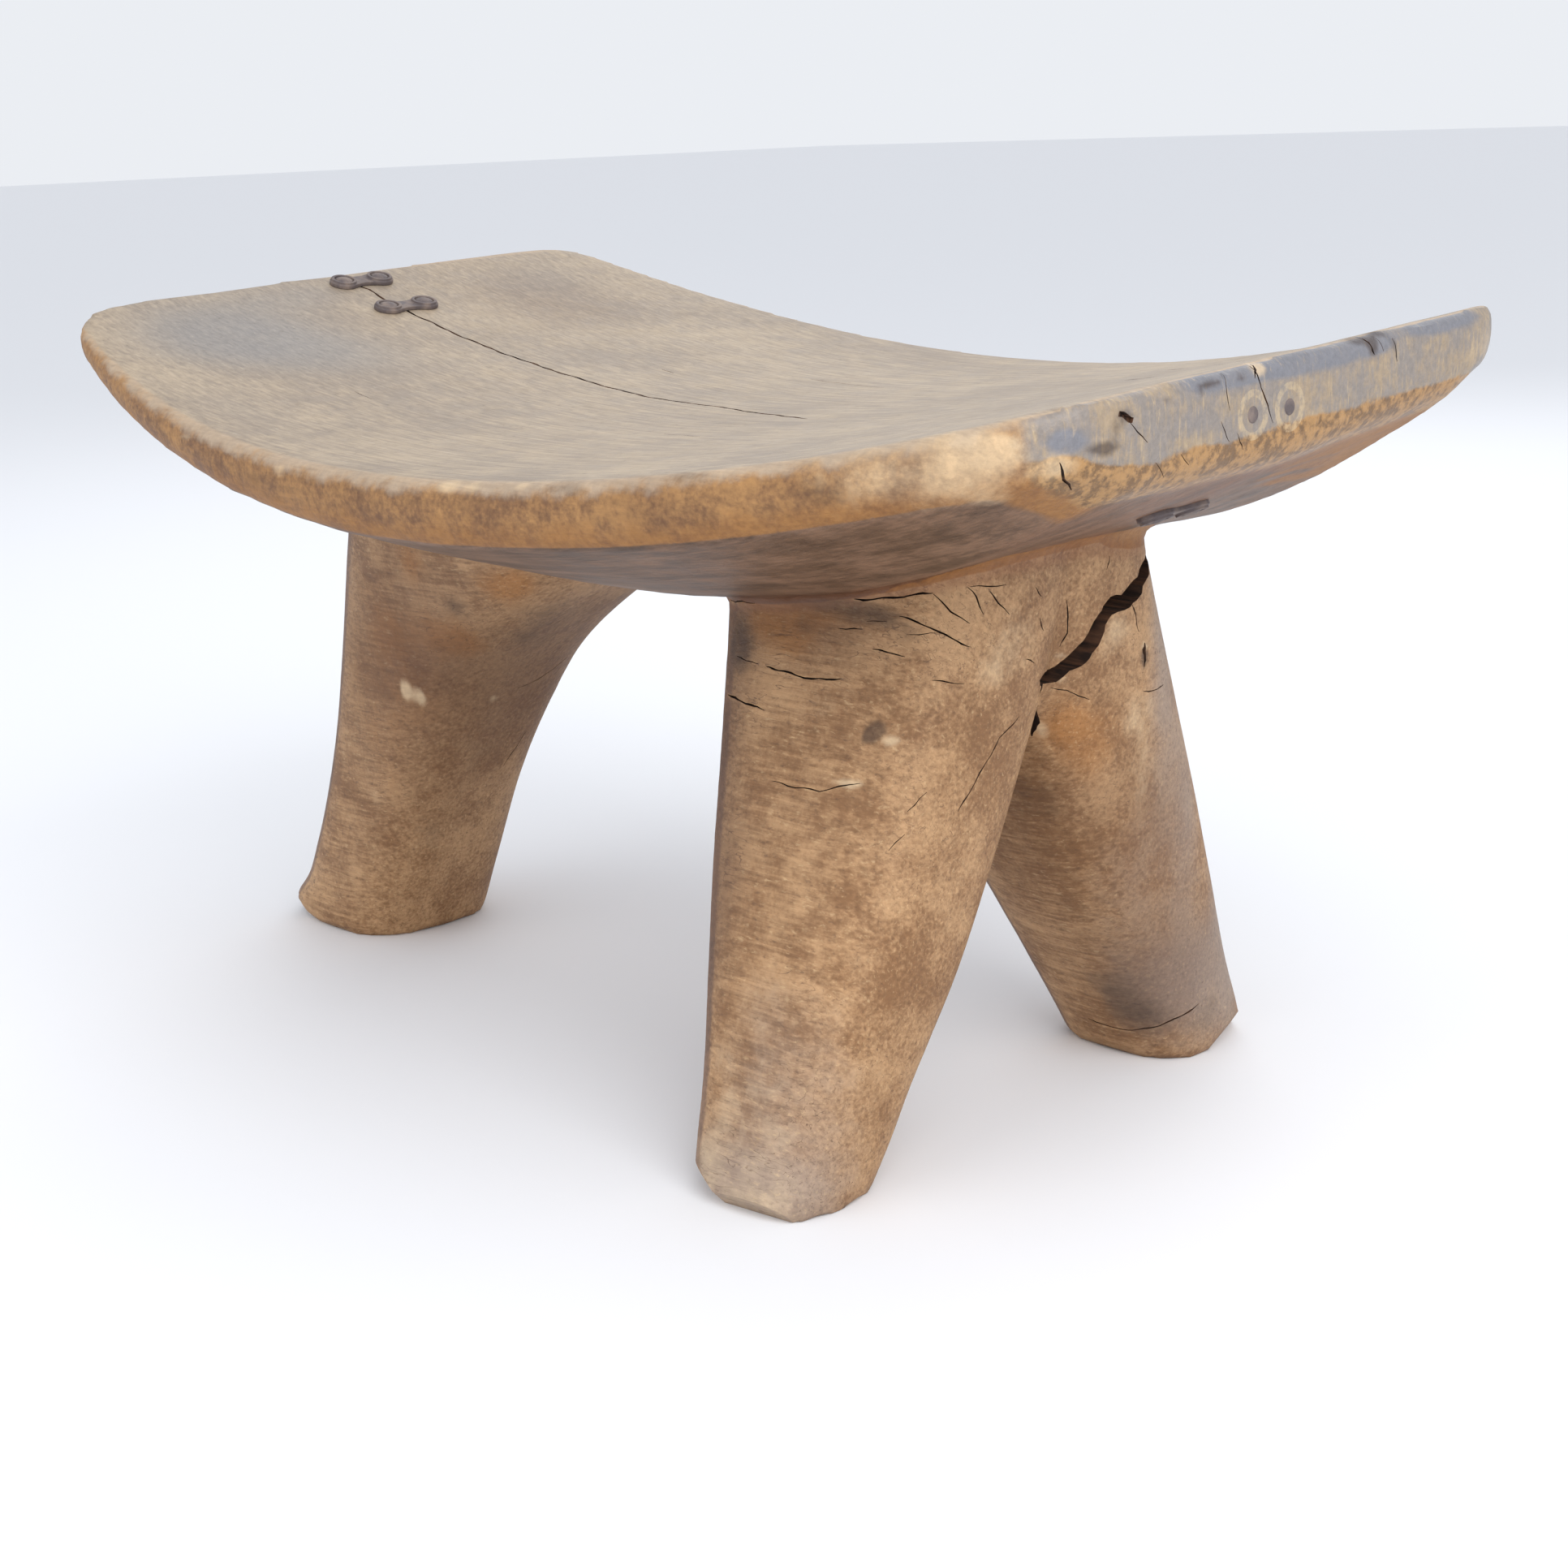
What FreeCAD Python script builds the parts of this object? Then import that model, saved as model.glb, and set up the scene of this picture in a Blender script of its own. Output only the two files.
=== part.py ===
import FreeCAD, Part
import Sketcher
import math
import os

# A three-legged stool carved from one log: seat and legs are a single piece of wood, with the grain along
# the seat. Old cracks are bridged by small iron link plates, each held by two nails, and two pins of a lost
# plate are left in one end face. Millimetres, +Z up, and the feet stand on Z = 0. +X runs along the seat
# from the single leg to the paired legs, and the origin is below the middle of the whole outline.

document = FreeCAD.newDocument("carved_stool")
sheet = document.addObject("Spreadsheet::Sheet", "sizes")

SIZES = {
    # seat, seen from above
    "seat_length": 352.0,
    "seat_width": 234.0,
    "single_end_width": 184.0,
    "pair_end_width": 164.0,
    "widest_share": -0.10,
    "single_corner_radius": 20.0,
    "pair_corner_radius": 26.0,
    # seat, seen from the side
    "seat_height": 167.5,
    "lowest_share": 0.065,
    "single_end_rise": 33.0,
    "pair_end_rise": 19.0,
    "lean_rise": 5.3,
    # thickness of the seat, its rim band and its bevelled underside
    "hull_depth": 36.0,
    "single_end_thickness": 12.0,
    "pair_end_thickness": 18.0,
    "hull_flat_share": 0.45,
    "end_flat_share": 0.80,
    "rim_height": 14.5,
    "rim_end_share": 0.75,
    "rim_undercut": 2.0,
    "edge_round": 2.5,
    # paired legs, placed from the seat's end
    "pair_foot_inset": 89.0,
    "pair_root_inset": 102.5,
    "pair_foot_spacing": 137.4,
    "pair_root_spacing": 16.0,
    "pair_foot_length": 39.8,
    "pair_root_length": 88.0,
    "pair_foot_width": 37.6,
    "pair_root_width": 60.0,
    # single leg, placed from the seat's end
    "toe_overhang": 18.0,
    "single_root_inset": 38.0,
    "single_foot_length": 58.4,
    "single_root_length": 144.0,
    "single_foot_width": 52.0,
    "single_root_width": 80.0,
    # all legs
    "root_below_seat": 7.5,
    "leg_flat_share": 0.56,
    "foot_round": 2.0,
    "legs_off_middle": 3.0,
    "single_off_middle": 0.6,
    # long crack in the seat
    "crack_width": 1.2,
    "crack_floor_drop": 4.0,
    "crack_length": 212.0,
    "crack_wander": 9.3,
    # fracture across the root of one paired leg
    "fracture_span": 53.0,
    "fracture_rise": 32.0,
    "fracture_off_middle": 7.0,
    "fracture_below_seat": 57.6,
    "fracture_depth": 42.0,
    "split_width": 1.0,
    "split_lean": 4.0,
    "split_length": 10.0,
    # iron link plates
    "pin_spacing": 12.7,
    "plate_thickness": 1.2,
    "eye_radius": 4.2,
    "waist_half_width": 2.7,
    "collar_radius": 3.8,
    "collar_bore_radius": 2.9,
    "collar_rise": 0.7,
    "outer_plate_inset": 13.7,
    "plate_spacing": 22.0,
    "underside_plate_inset": 33.0,
    "plate_off_middle": 2.0,
    # nails, and the pins left in the end face
    "shank_radius": 1.3,
    "head_radius": 2.5,
    "head_rise": 1.0,
    "head_edge": 0.4,
    "nail_length": 11.0,
    "nail_point": 3.0,
    "pin_radius": 1.8,
    "pin_length": 14.0,
    "pin_edge": 0.3,
    "pin_off_middle": 9.8,
    "pin_below_rim": 8.8,
    # clearances, and how far a cut runs past what it cuts
    "seat_gap": 0.06,
    "fit_gap": 0.05,
    "hole_spare": 0.5,
    "cut_over": 6.0,
}
for row, (alias, value) in enumerate(SIZES.items(), start=1):
    sheet.set(f"A{row}", alias)
    sheet.set(f"B{row}", str(value))
    sheet.setAlias(f"B{row}", alias)
document.recompute()

# Half the seat's length. A share of -1 is the end over the single leg, and 1 the end over the paired legs.
HALF = "(sizes.seat_length / 2)"

# The outline's ends are the toe of the single leg and the seat's end over the paired legs, so the seat's
# middle lies this far to +X of the origin.
SHIFT = "(sizes.toe_overhang / 2)"

# The seat leans across its width, with its far side higher.
LEAN_SLOPE = "(sizes.lean_rise / sizes.seat_width)"


def number(text):
    return float(sheet.evalExpression(text))


def at_share(share):
    return f"({SHIFT} + {HALF} * ({share}))"


def from_lowest(share):
    """Distance from the seat's lowest place as a share of that side, and the rise at that side's end."""
    if number(share) < SIZES["lowest_share"]:
        return f"((sizes.lowest_share - ({share})) / (1 + sizes.lowest_share))", "sizes.single_end_rise"
    return f"((({share}) - sizes.lowest_share) / (1 - sizes.lowest_share))", "sizes.pair_end_rise"


def top_height(share):
    distance, rise = from_lowest(share)
    return f"(sizes.seat_height + {rise} * {distance}^2)"


def top_slope(share):
    distance, rise = from_lowest(share)
    if number(share) < SIZES["lowest_share"]:
        return f"(-2 * {rise} * {distance} / (1 + sizes.lowest_share) / {HALF})"
    return f"(2 * {rise} * {distance} / (1 - sizes.lowest_share) / {HALF})"


def half_width(share):
    if number(share) < SIZES["widest_share"]:
        distance = f"((sizes.widest_share - ({share})) / (1 + sizes.widest_share))"
        return f"((sizes.seat_width - (sizes.seat_width - sizes.single_end_width) * {distance}^2) / 2)"
    distance = f"((({share}) - sizes.widest_share) / (1 - sizes.widest_share))"
    return f"((sizes.seat_width - (sizes.seat_width - sizes.pair_end_width) * {distance}^2) / 2)"


def end_thickness(share):
    return "sizes.single_end_thickness" if number(share) < 0 else "sizes.pair_end_thickness"


def thickness(share):
    return f"(sizes.hull_depth - (sizes.hull_depth - {end_thickness(share)}) * abs({share})^3)"


def rim(share):
    """Height of the rim band, which narrows towards both ends with the seat's thickness."""
    at_end = f"sizes.rim_end_share * {end_thickness(share)}"
    return f"(sizes.rim_height + ({at_end} - sizes.rim_height) * abs({share})^3)"


def hull_flat(share):
    """Half the width of the flat middle of the underside."""
    flat_share = f"(sizes.hull_flat_share + (sizes.end_flat_share - sizes.hull_flat_share) * abs({share})^3)"
    return f"({half_width(share)} * {flat_share})"


def seat_section(share):
    """Eight corners of the seat cut across, as (y, z): flat top, worn edge, rim band, bevel, underside."""
    near_side = [
        (f"({hull_flat(share)})", thickness(share)),
        (f"({half_width(share)} - sizes.rim_undercut)", rim(share)),
        (half_width(share), "sizes.edge_round"),
        (f"({half_width(share)} - sizes.edge_round)", "0"),
    ]
    points = []
    for side, corners in ((-1, near_side), (1, near_side[::-1])):
        for out, down in corners:
            y = f"({side} * {out})"
            points.append((y, f"({top_height(share)} - {down} + {LEAN_SLOPE} * {y})"))
    return points


def octagon(middle_x, middle_y, half_x, half_y):
    """Eight corners of a leg cut level: a rounded square."""
    flat = "sizes.leg_flat_share"
    steps = [
        (f"{half_x}", f"{flat} * {half_y}"),
        (f"{flat} * {half_x}", f"{half_y}"),
        (f"-{flat} * {half_x}", f"{half_y}"),
        (f"-{half_x}", f"{flat} * {half_y}"),
        (f"-{half_x}", f"-{flat} * {half_y}"),
        (f"-{flat} * {half_x}", f"-{half_y}"),
        (f"{flat} * {half_x}", f"-{half_y}"),
        (f"{half_x}", f"-{flat} * {half_y}"),
    ]
    return [(f"({middle_x} + {x})", f"({middle_y} + {y})") for x, y in steps]


def between(start, end, share):
    return f"({start} + ({end} - {start}) * {share})"


def plane_sketch(body, name, plane, offset):
    sketch = body.newObject("Sketcher::SketchObject", name)
    origin_plane = next(item for item in body.Origin.OriginFeatures if item.Role == plane)
    sketch.AttachmentSupport = [(origin_plane, "")]
    sketch.MapMode = "FlatFace"
    sketch.setExpression("AttachmentOffset.Base.z", offset)
    return sketch


def bind(sketch, kind, name, references, text):
    """Adds a measured constraint and ties it to the sheet."""
    index = sketch.addConstraint(Sketcher.Constraint(kind, *references, number(text)))
    sketch.renameConstraint(index, name)
    sketch.setExpression(f"Constraints.{name}", text)


def polygon(body, name, plane, offset, points):
    """Closed outline of straight sides, each corner held by its two distances from the origin."""
    sketch = plane_sketch(body, name, plane, offset)
    corners = [FreeCAD.Vector(number(across), number(along), 0) for across, along in points]
    count = len(corners)
    for index in range(count):
        sketch.addGeometry(Part.LineSegment(corners[index], corners[(index + 1) % count]), False)
    for index in range(count):
        sketch.addConstraint(Sketcher.Constraint("Coincident", index, 2, (index + 1) % count, 1))
    for index, (across, along) in enumerate(points):
        bind(sketch, "DistanceX", f"across{index}", (-1, 1, index, 1), across)
        bind(sketch, "DistanceY", f"along{index}", (-1, 1, index, 1), along)
    return sketch


def lofted(name, plane, sections, sole=None):
    """A body lofted through polygons, given as (offset, points). A leg also has the bevel of its sole."""
    body = document.addObject("PartDesign::Body", name)
    sketches = [
        polygon(body, f"{name}_section{index}", plane, offset, points)
        for index, (offset, points) in enumerate(sections)
    ]
    loft = body.newObject("PartDesign::AdditiveLoft", f"{name}_loft")
    loft.Profile = sketches[0]
    loft.Sections = sketches[1:]
    document.recompute()
    if sole:
        bevel = body.newObject("PartDesign::AdditiveLoft", f"{name}_sole")
        bevel.Profile = polygon(body, f"{name}_sole_outline", plane, "0", sole)
        bevel.Sections = [sketches[0]]
        bevel.Ruled = True
    return body


# The seat has a section at each plate, so that its surface there is exactly where the plate is placed.
OUTER_PLATE_SHARE = f"(sizes.outer_plate_inset / {HALF} - 1)"
INNER_PLATE_SHARE = f"((sizes.outer_plate_inset + sizes.plate_spacing) / {HALF} - 1)"
UNDERSIDE_PLATE_SHARE = f"(1 - sizes.underside_plate_inset / {HALF})"
SEAT_SHARES = [
    "-1",
    OUTER_PLATE_SHARE,
    INNER_PLATE_SHARE,
    "-0.5",
    "-0.2",
    "sizes.lowest_share",
    "0.35",
    "0.6",
    UNDERSIDE_PLATE_SHARE,
    "1",
]
seat = lofted("seat", "YZ_Plane", [(at_share(share), seat_section(share)) for share in SEAT_SHARES])

# Legs. Each table goes up the leg from its foot, as 0, to its root inside the seat, as 1: height, place
# along the seat, place across it, then size along and across.
ROOT_HEIGHT = "(sizes.seat_height - sizes.root_below_seat)"
PAIR_HEIGHT_SHARES = (0.0, 0.15, 0.30, 0.45, 0.60, 0.75, 0.90, 1.0)
PAIR_PLACE_SHARES = (0.0, 0.12, 0.25, 0.41, 0.56, 0.73, 0.90, 1.0)
PAIR_SPREAD_SHARES = (0.0, 0.175, 0.343, 0.506, 0.662, 0.81, 0.94, 1.0)
PAIR_LENGTH_SHARES = (0.0, 0.18, 0.36, 0.52, 0.67, 0.81, 0.94, 1.0)
PAIR_WIDTH_SHARES = (0.0, 0.28, 0.50, 0.69, 0.82, 0.92, 0.97, 1.0)


def leg_height(share):
    """Height up a leg: its foot is lifted by the bevel of the sole."""
    return between("sizes.foot_round", ROOT_HEIGHT, share)


def worn(half_size):
    """Half a size of the sole, inside the bevel that wear has left round it."""
    return f"({half_size} - sizes.foot_round)"


def pair_leg(name, side):
    foot_x = f"({SHIFT} + {HALF} - sizes.pair_foot_inset)"
    root_x = f"({SHIFT} + {HALF} - sizes.pair_root_inset)"
    sections = []
    for height, place, spread, length, width in zip(
        PAIR_HEIGHT_SHARES, PAIR_PLACE_SHARES, PAIR_SPREAD_SHARES, PAIR_LENGTH_SHARES, PAIR_WIDTH_SHARES
    ):
        spacing = between("sizes.pair_foot_spacing", "sizes.pair_root_spacing", spread)
        middle_y = f"({side} * {spacing} / 2 - sizes.legs_off_middle)"
        half_x = f"({between('sizes.pair_foot_length', 'sizes.pair_root_length', length)} / 2)"
        half_y = f"({between('sizes.pair_foot_width', 'sizes.pair_root_width', width)} / 2)"
        middle_x = between(foot_x, root_x, place)
        sections.append((leg_height(height), octagon(middle_x, middle_y, half_x, half_y)))
        if not height:
            sole = octagon(middle_x, middle_y, worn(half_x), worn(half_y))
    return lofted(name, "XY_Plane", sections, sole)


near_leg = pair_leg("near_leg", -1)
far_leg = pair_leg("far_leg", 1)

# The single leg is set out by its outer and inner lines. Its toe juts out a little above the ground, and its
# inner line sweeps far in under the seat.
SINGLE_HEIGHT_SHARES = (0.0, 0.03, 0.08, 0.16, 0.29, 0.44, 0.60, 0.75, 0.90, 1.0)
SINGLE_OUTER_SHARES = (0.06, 0.0, 0.11, 0.27, 0.45, 0.61, 0.74, 0.86, 0.97, 1.0)
SINGLE_INNER_SHARES = (0.0, 0.0, 0.03, 0.075, 0.155, 0.26, 0.415, 0.65, 0.95, 1.0)
SINGLE_WIDTH_SHARES = (-0.10, 0.0, 0.0, 0.0, 0.0, 0.08, 0.22, 0.55, 0.88, 1.0)


def single_leg(name):
    toe_x = f"({SHIFT} - {HALF} - sizes.toe_overhang)"
    root_outer_x = f"({SHIFT} - {HALF} + sizes.single_root_inset)"
    heel_x = f"({toe_x} + sizes.single_foot_length)"
    root_inner_x = f"({root_outer_x} + sizes.single_root_length)"
    middle_y = "(-sizes.single_off_middle)"
    sections = []
    for height, outer, inner, width in zip(
        SINGLE_HEIGHT_SHARES, SINGLE_OUTER_SHARES, SINGLE_INNER_SHARES, SINGLE_WIDTH_SHARES
    ):
        outer_x = between(toe_x, root_outer_x, outer)
        inner_x = between(heel_x, root_inner_x, inner)
        half_x = f"(({inner_x} - {outer_x}) / 2)"
        half_y = f"({between('sizes.single_foot_width', 'sizes.single_root_width', width)} / 2)"
        middle_x = f"(({inner_x} + {outer_x}) / 2)"
        sections.append((leg_height(height), octagon(middle_x, middle_y, half_x, half_y)))
        if not height:
            sole = octagon(middle_x, middle_y, worn(half_x), worn(half_y))
    return lofted(name, "XY_Plane", sections, sole)


lone_leg = single_leg("lone_leg")

log = document.addObject("Part::MultiFuse", "log")
log.Shapes = [seat, near_leg, far_leg, lone_leg]

cutters = []


def corner_cutter(name, end, side):
    """What is cut away to round one corner of the seat in plan: a block less a cylinder."""
    radius = "sizes.pair_corner_radius" if end > 0 else "sizes.single_corner_radius"
    end_width = "sizes.pair_end_width" if end > 0 else "sizes.single_end_width"
    taper = f"atan((sizes.seat_width - {end_width}) / (1 - {end} * sizes.widest_share) / {HALF})"
    middle_x = f"({at_share(end)} - {end} * {radius})"
    middle_y = f"({end_width} / 2 - {radius} * (1 - sin({taper})) / cos({taper}))"
    span = f"({radius} * (1 - sin({taper})))"
    floor = "(sizes.seat_height - sizes.hull_depth)"
    tall = "(sizes.hull_depth + sizes.single_end_rise + sizes.pair_end_rise + sizes.lean_rise)"
    block = document.addObject("Part::Box", f"{name}_block")
    block.setExpression("Length", f"{span} + sizes.cut_over")
    block.setExpression("Width", f"{radius} + sizes.cut_over")
    block.setExpression("Height", tall)
    start_x = f"{middle_x} + {radius} * sin({taper})"
    if end < 0:
        start_x = f"{middle_x} - {radius} * sin({taper}) - {span} - sizes.cut_over"
    start_y = middle_y if side > 0 else f"-{middle_y} - {radius} - sizes.cut_over"
    block.setExpression("Placement.Base.x", start_x)
    block.setExpression("Placement.Base.y", start_y)
    block.setExpression("Placement.Base.z", floor)
    post = document.addObject("Part::Cylinder", f"{name}_post")
    post.setExpression("Radius", radius)
    post.setExpression("Height", f"{tall} + 2 * sizes.cut_over")
    post.setExpression("Placement.Base.x", middle_x)
    post.setExpression("Placement.Base.y", f"{side} * {middle_y}")
    post.setExpression("Placement.Base.z", f"{floor} - sizes.cut_over")
    cutter = document.addObject("Part::Cut", name)
    cutter.Base = block
    cutter.Tool = post
    return cutter


for end, end_name in ((-1, "single"), (1, "pair")):
    for side, side_name in ((-1, "near"), (1, "far")):
        cutters.append(corner_cutter(f"{end_name}_{side_name}_corner", end, side))

# The long crack starts at the end over the single leg and wanders along the grain: place along its length,
# then place across in shares of its wander.
CRACK_ALONG_SHARES = (-0.05, 0.02, 0.055, 0.13, 0.19, 0.28, 0.40, 0.55, 0.71, 0.83, 1.0)
CRACK_ACROSS_SHARES = (-0.22, -0.15, 0.0, 0.09, 0.08, 0.09, 0.11, 0.06, -0.18, 0.0, -1.0)
crack_cut = document.addObject("PartDesign::Body", "crack_cut")
crack_start = at_share("-1")
crack_line = [
    (f"({crack_start} + sizes.crack_length * {along})", f"sizes.crack_wander * {across}")
    for along, across in zip(CRACK_ALONG_SHARES, CRACK_ACROSS_SHARES)
]
near_bank = [(x, f"({y} - sizes.crack_width / 2)") for x, y in crack_line[:-1]]
far_bank = [(x, f"({y} + sizes.crack_width / 2)") for x, y in crack_line[:-1]]
crack_floor = "(sizes.seat_height - sizes.crack_floor_drop)"
crack_outline = near_bank + [crack_line[-1]] + far_bank[::-1]
crack_sketch = polygon(crack_cut, "crack_outline", "XY_Plane", crack_floor, crack_outline)
crack_pad = crack_cut.newObject("PartDesign::Pad", "crack_pad")
crack_pad.Profile = crack_sketch
crack_pad.setExpression("Length", "sizes.single_end_rise + sizes.crack_floor_drop + sizes.cut_over")
cutters.append(crack_cut)

# The fracture climbs across the outer side of the far paired leg: places across and up, in shares of its
# span and rise, along its upper and lower banks, and a thin split runs down from its low end.
UPPER_ACROSS_SHARES = (1.0, 0.73, 0.60, 0.46, 0.33, 0.15, 0.0)
UPPER_RISE_SHARES = (1.0, 0.77, 0.61, 0.56, 0.38, 0.25, 0.17)
LOWER_ACROSS_SHARES = (0.04, 0.27, 0.43, 0.59, 0.73, 1.0)
LOWER_RISE_SHARES = (0.09, 0.17, 0.36, 0.45, 0.64, 0.86)
SPLIT_RISE_SHARE = 0.08
fracture_y = "(-sizes.fracture_off_middle)"
fracture_z = "(sizes.seat_height - sizes.fracture_below_seat)"
leg_outer_x = f"({SHIFT} + {HALF} - sizes.pair_root_inset + sizes.pair_root_length / 2)"
fracture_back = f"({leg_outer_x} - sizes.fracture_depth)"
fracture_cut = document.addObject("PartDesign::Body", "fracture_cut")


def bank(across_shares, rise_shares):
    points = []
    for across, rise in zip(across_shares, rise_shares):
        y = f"({fracture_y} + sizes.fracture_span * {across})"
        points.append((y, f"({fracture_z} + sizes.fracture_rise * {rise})"))
    return points


split_top = f"({fracture_z} + sizes.fracture_rise * {SPLIT_RISE_SHARE})"
split_head = (f"({fracture_y} - sizes.split_width)", split_top)
split_foot = (f"({fracture_y} - sizes.split_lean)", f"({fracture_z} - sizes.split_length)")
upper_bank = bank(UPPER_ACROSS_SHARES, UPPER_RISE_SHARES)
lower_bank = bank(LOWER_ACROSS_SHARES, LOWER_RISE_SHARES)
banks = [*upper_bank, split_head, split_foot, *lower_bank]
fracture_sketch = polygon(fracture_cut, "fracture_outline", "YZ_Plane", fracture_back, banks)
fracture_pad = fracture_cut.newObject("PartDesign::Pad", "fracture_pad")
fracture_pad.Profile = fracture_sketch
fracture_pad.setExpression("Length", "sizes.fracture_depth + sizes.cut_over")
cutters.append(fracture_cut)


def placed(x, y, z, rotation="rotation(vector(0; 0; 1); 0)"):
    return f"placement(vector({x}; {y}; {z}); {rotation})"


def flat_circle(x, y, radius):
    circle = Part.Circle()
    circle.Center = FreeCAD.Vector(x, y, 0)
    circle.Radius = radius
    return circle


def link_plate(name, placement):
    """Flat iron link with two eyes in line along its Y, its lower face on its own Z = 0. The sides are drawn
    in between the eyes by an arc that meets both smoothly, and a low collar stands round each hole."""
    body = document.addObject("PartDesign::Body", name)
    half_pitch = "(sizes.pin_spacing / 2)"
    waist_radius = (
        f"((sizes.waist_half_width^2 + {half_pitch}^2 - sizes.eye_radius^2)"
        " / (2 * (sizes.eye_radius - sizes.waist_half_width)))"
    )
    waist_middle = f"(sizes.waist_half_width + {waist_radius})"
    turn = math.atan2(number(half_pitch), number(waist_middle))
    outline = plane_sketch(body, f"{name}_outline", "XY_Plane", "0")
    arcs = (
        ("0", half_pitch, "sizes.eye_radius", -turn, math.pi + turn),
        (waist_middle, "0", waist_radius, math.pi - turn, math.pi + turn),
        ("0", f"(-{half_pitch})", "sizes.eye_radius", math.pi - turn, 2 * math.pi + turn),
        (f"(-{waist_middle})", "0", waist_radius, -turn, turn),
    )
    for index, (x, y, radius, start, end) in enumerate(arcs):
        circle = flat_circle(number(x), number(y), number(radius))
        outline.addGeometry(Part.ArcOfCircle(circle, start, end), False)
        bind(outline, "Radius", f"arc_radius{index}", (index,), radius)
    for first, first_end, second, second_end in ((0, 1, 1, 1), (1, 2, 2, 2), (2, 1, 3, 1), (3, 2, 0, 2)):
        outline.addConstraint(Sketcher.Constraint("Tangent", first, first_end, second, second_end))
    for index, y in ((0, half_pitch), (2, f"(-{half_pitch})")):
        outline.addConstraint(Sketcher.Constraint("PointOnObject", index, 3, -2))
        bind(outline, "DistanceY", f"eye_place{index}", (-1, 1, index, 3), y)
    eye_circles(outline, len(arcs), half_pitch, "(sizes.shank_radius + sizes.fit_gap)", "hole")
    plate = body.newObject("PartDesign::Pad", f"{name}_plate")
    plate.Profile = outline
    plate.setExpression("Length", "sizes.plate_thickness")
    rings = plane_sketch(body, f"{name}_rings", "XY_Plane", "sizes.plate_thickness")
    eye_circles(rings, 0, half_pitch, "sizes.collar_radius", "outside")
    eye_circles(rings, 2, half_pitch, "sizes.collar_bore_radius", "bore")
    collars = body.newObject("PartDesign::Pad", f"{name}_collars")
    collars.Profile = rings
    collars.setExpression("Length", "sizes.collar_rise")
    body.setExpression("Placement", placement)
    return body


def eye_circles(sketch, first, half_pitch, radius, name):
    """A circle round the middle of each of the two eyes."""
    for index, y in ((first, half_pitch), (first + 1, f"(-{half_pitch})")):
        sketch.addGeometry(flat_circle(0, number(y), number(radius)), False)
        sketch.addConstraint(Sketcher.Constraint("PointOnObject", index, 3, -2))
        bind(sketch, "DistanceY", f"{name}_place{index}", (-1, 1, index, 3), y)
        bind(sketch, "Radius", f"{name}_radius{index}", (index,), radius)


def turned_piece(name, profile, domed, placement):
    """A round piece about its own Z axis. The profile is (radius, height), up from one end of the axis to
    the other, and its last stretch is a dome or a straight line."""
    body = document.addObject("PartDesign::Body", name)
    sketch = plane_sketch(body, f"{name}_profile", "XZ_Plane", "0")
    corners = [FreeCAD.Vector(number(radius), number(height), 0) for radius, height in profile]
    last = len(corners) - 1
    for index in range(last):
        stretch = Part.LineSegment(corners[index], corners[index + 1])
        if domed and index == last - 1:
            rise = corners[last].y - corners[index].y
            bend = (rise**2 + corners[index].x ** 2) / (2 * rise)
            middle = corners[last].y - bend
            start = math.atan2(corners[index].y - middle, corners[index].x)
            stretch = Part.ArcOfCircle(flat_circle(0, middle, bend), start, math.pi / 2)
        sketch.addGeometry(stretch, False)
    sketch.addGeometry(Part.LineSegment(corners[last], corners[0]), False)
    for index in range(last):
        sketch.addConstraint(Sketcher.Constraint("Coincident", index, 2, index + 1, 1))
    sketch.addConstraint(Sketcher.Constraint("Coincident", last, 2, 0, 1))
    sketch.addConstraint(Sketcher.Constraint("PointOnObject", 0, 1, -2))
    sketch.addConstraint(Sketcher.Constraint("PointOnObject", last, 1, -2))
    if domed:
        sketch.addConstraint(Sketcher.Constraint("PointOnObject", last - 1, 3, -2))
    for index, (radius, height) in enumerate(profile):
        if 0 < index < last:
            bind(sketch, "DistanceX", f"radius{index}", (-1, 1, index, 1), radius)
        if number(height) == 0:
            sketch.addConstraint(Sketcher.Constraint("PointOnObject", index, 1, -1))
        else:
            bind(sketch, "DistanceY", f"height{index}", (-1, 1, index, 1), height)
    solid = body.newObject("PartDesign::Revolution", f"{name}_turned")
    solid.Profile = sketch
    solid.ReferenceAxis = (sketch, ["V_Axis"])
    body.setExpression("Placement", placement)
    return body


# The nail's own Z = 0 is the underside of its head, and the pin's is its outer end.
NAIL_PROFILE = (
    ("0", "-sizes.nail_length"),
    ("sizes.shank_radius", "(sizes.nail_point - sizes.nail_length)"),
    ("sizes.shank_radius", "0"),
    ("sizes.head_radius", "0"),
    ("sizes.head_radius", "sizes.head_edge"),
    ("0", "sizes.head_rise"),
)
PIN_PROFILE = (
    ("0", "-sizes.pin_length"),
    ("sizes.pin_radius", "-sizes.pin_length"),
    ("sizes.pin_radius", "-sizes.pin_edge"),
    ("(sizes.pin_radius - sizes.pin_edge)", "0"),
    ("0", "0"),
)


def hole(name, piece, radius, depth, past):
    """A round hole in the wood, on the axis of the nail or pin that sits in it."""
    drill = document.addObject("Part::Cylinder", name)
    drill.setExpression("Radius", f"{radius} + sizes.fit_gap")
    drill.setExpression("Height", f"{depth} + sizes.hole_spare + {past}")
    bottom = placed("0", "0", f"-({depth} + sizes.hole_spare)")
    drill.setExpression("Placement", f"{piece.Name}.Placement * {bottom}")
    return drill


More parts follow.
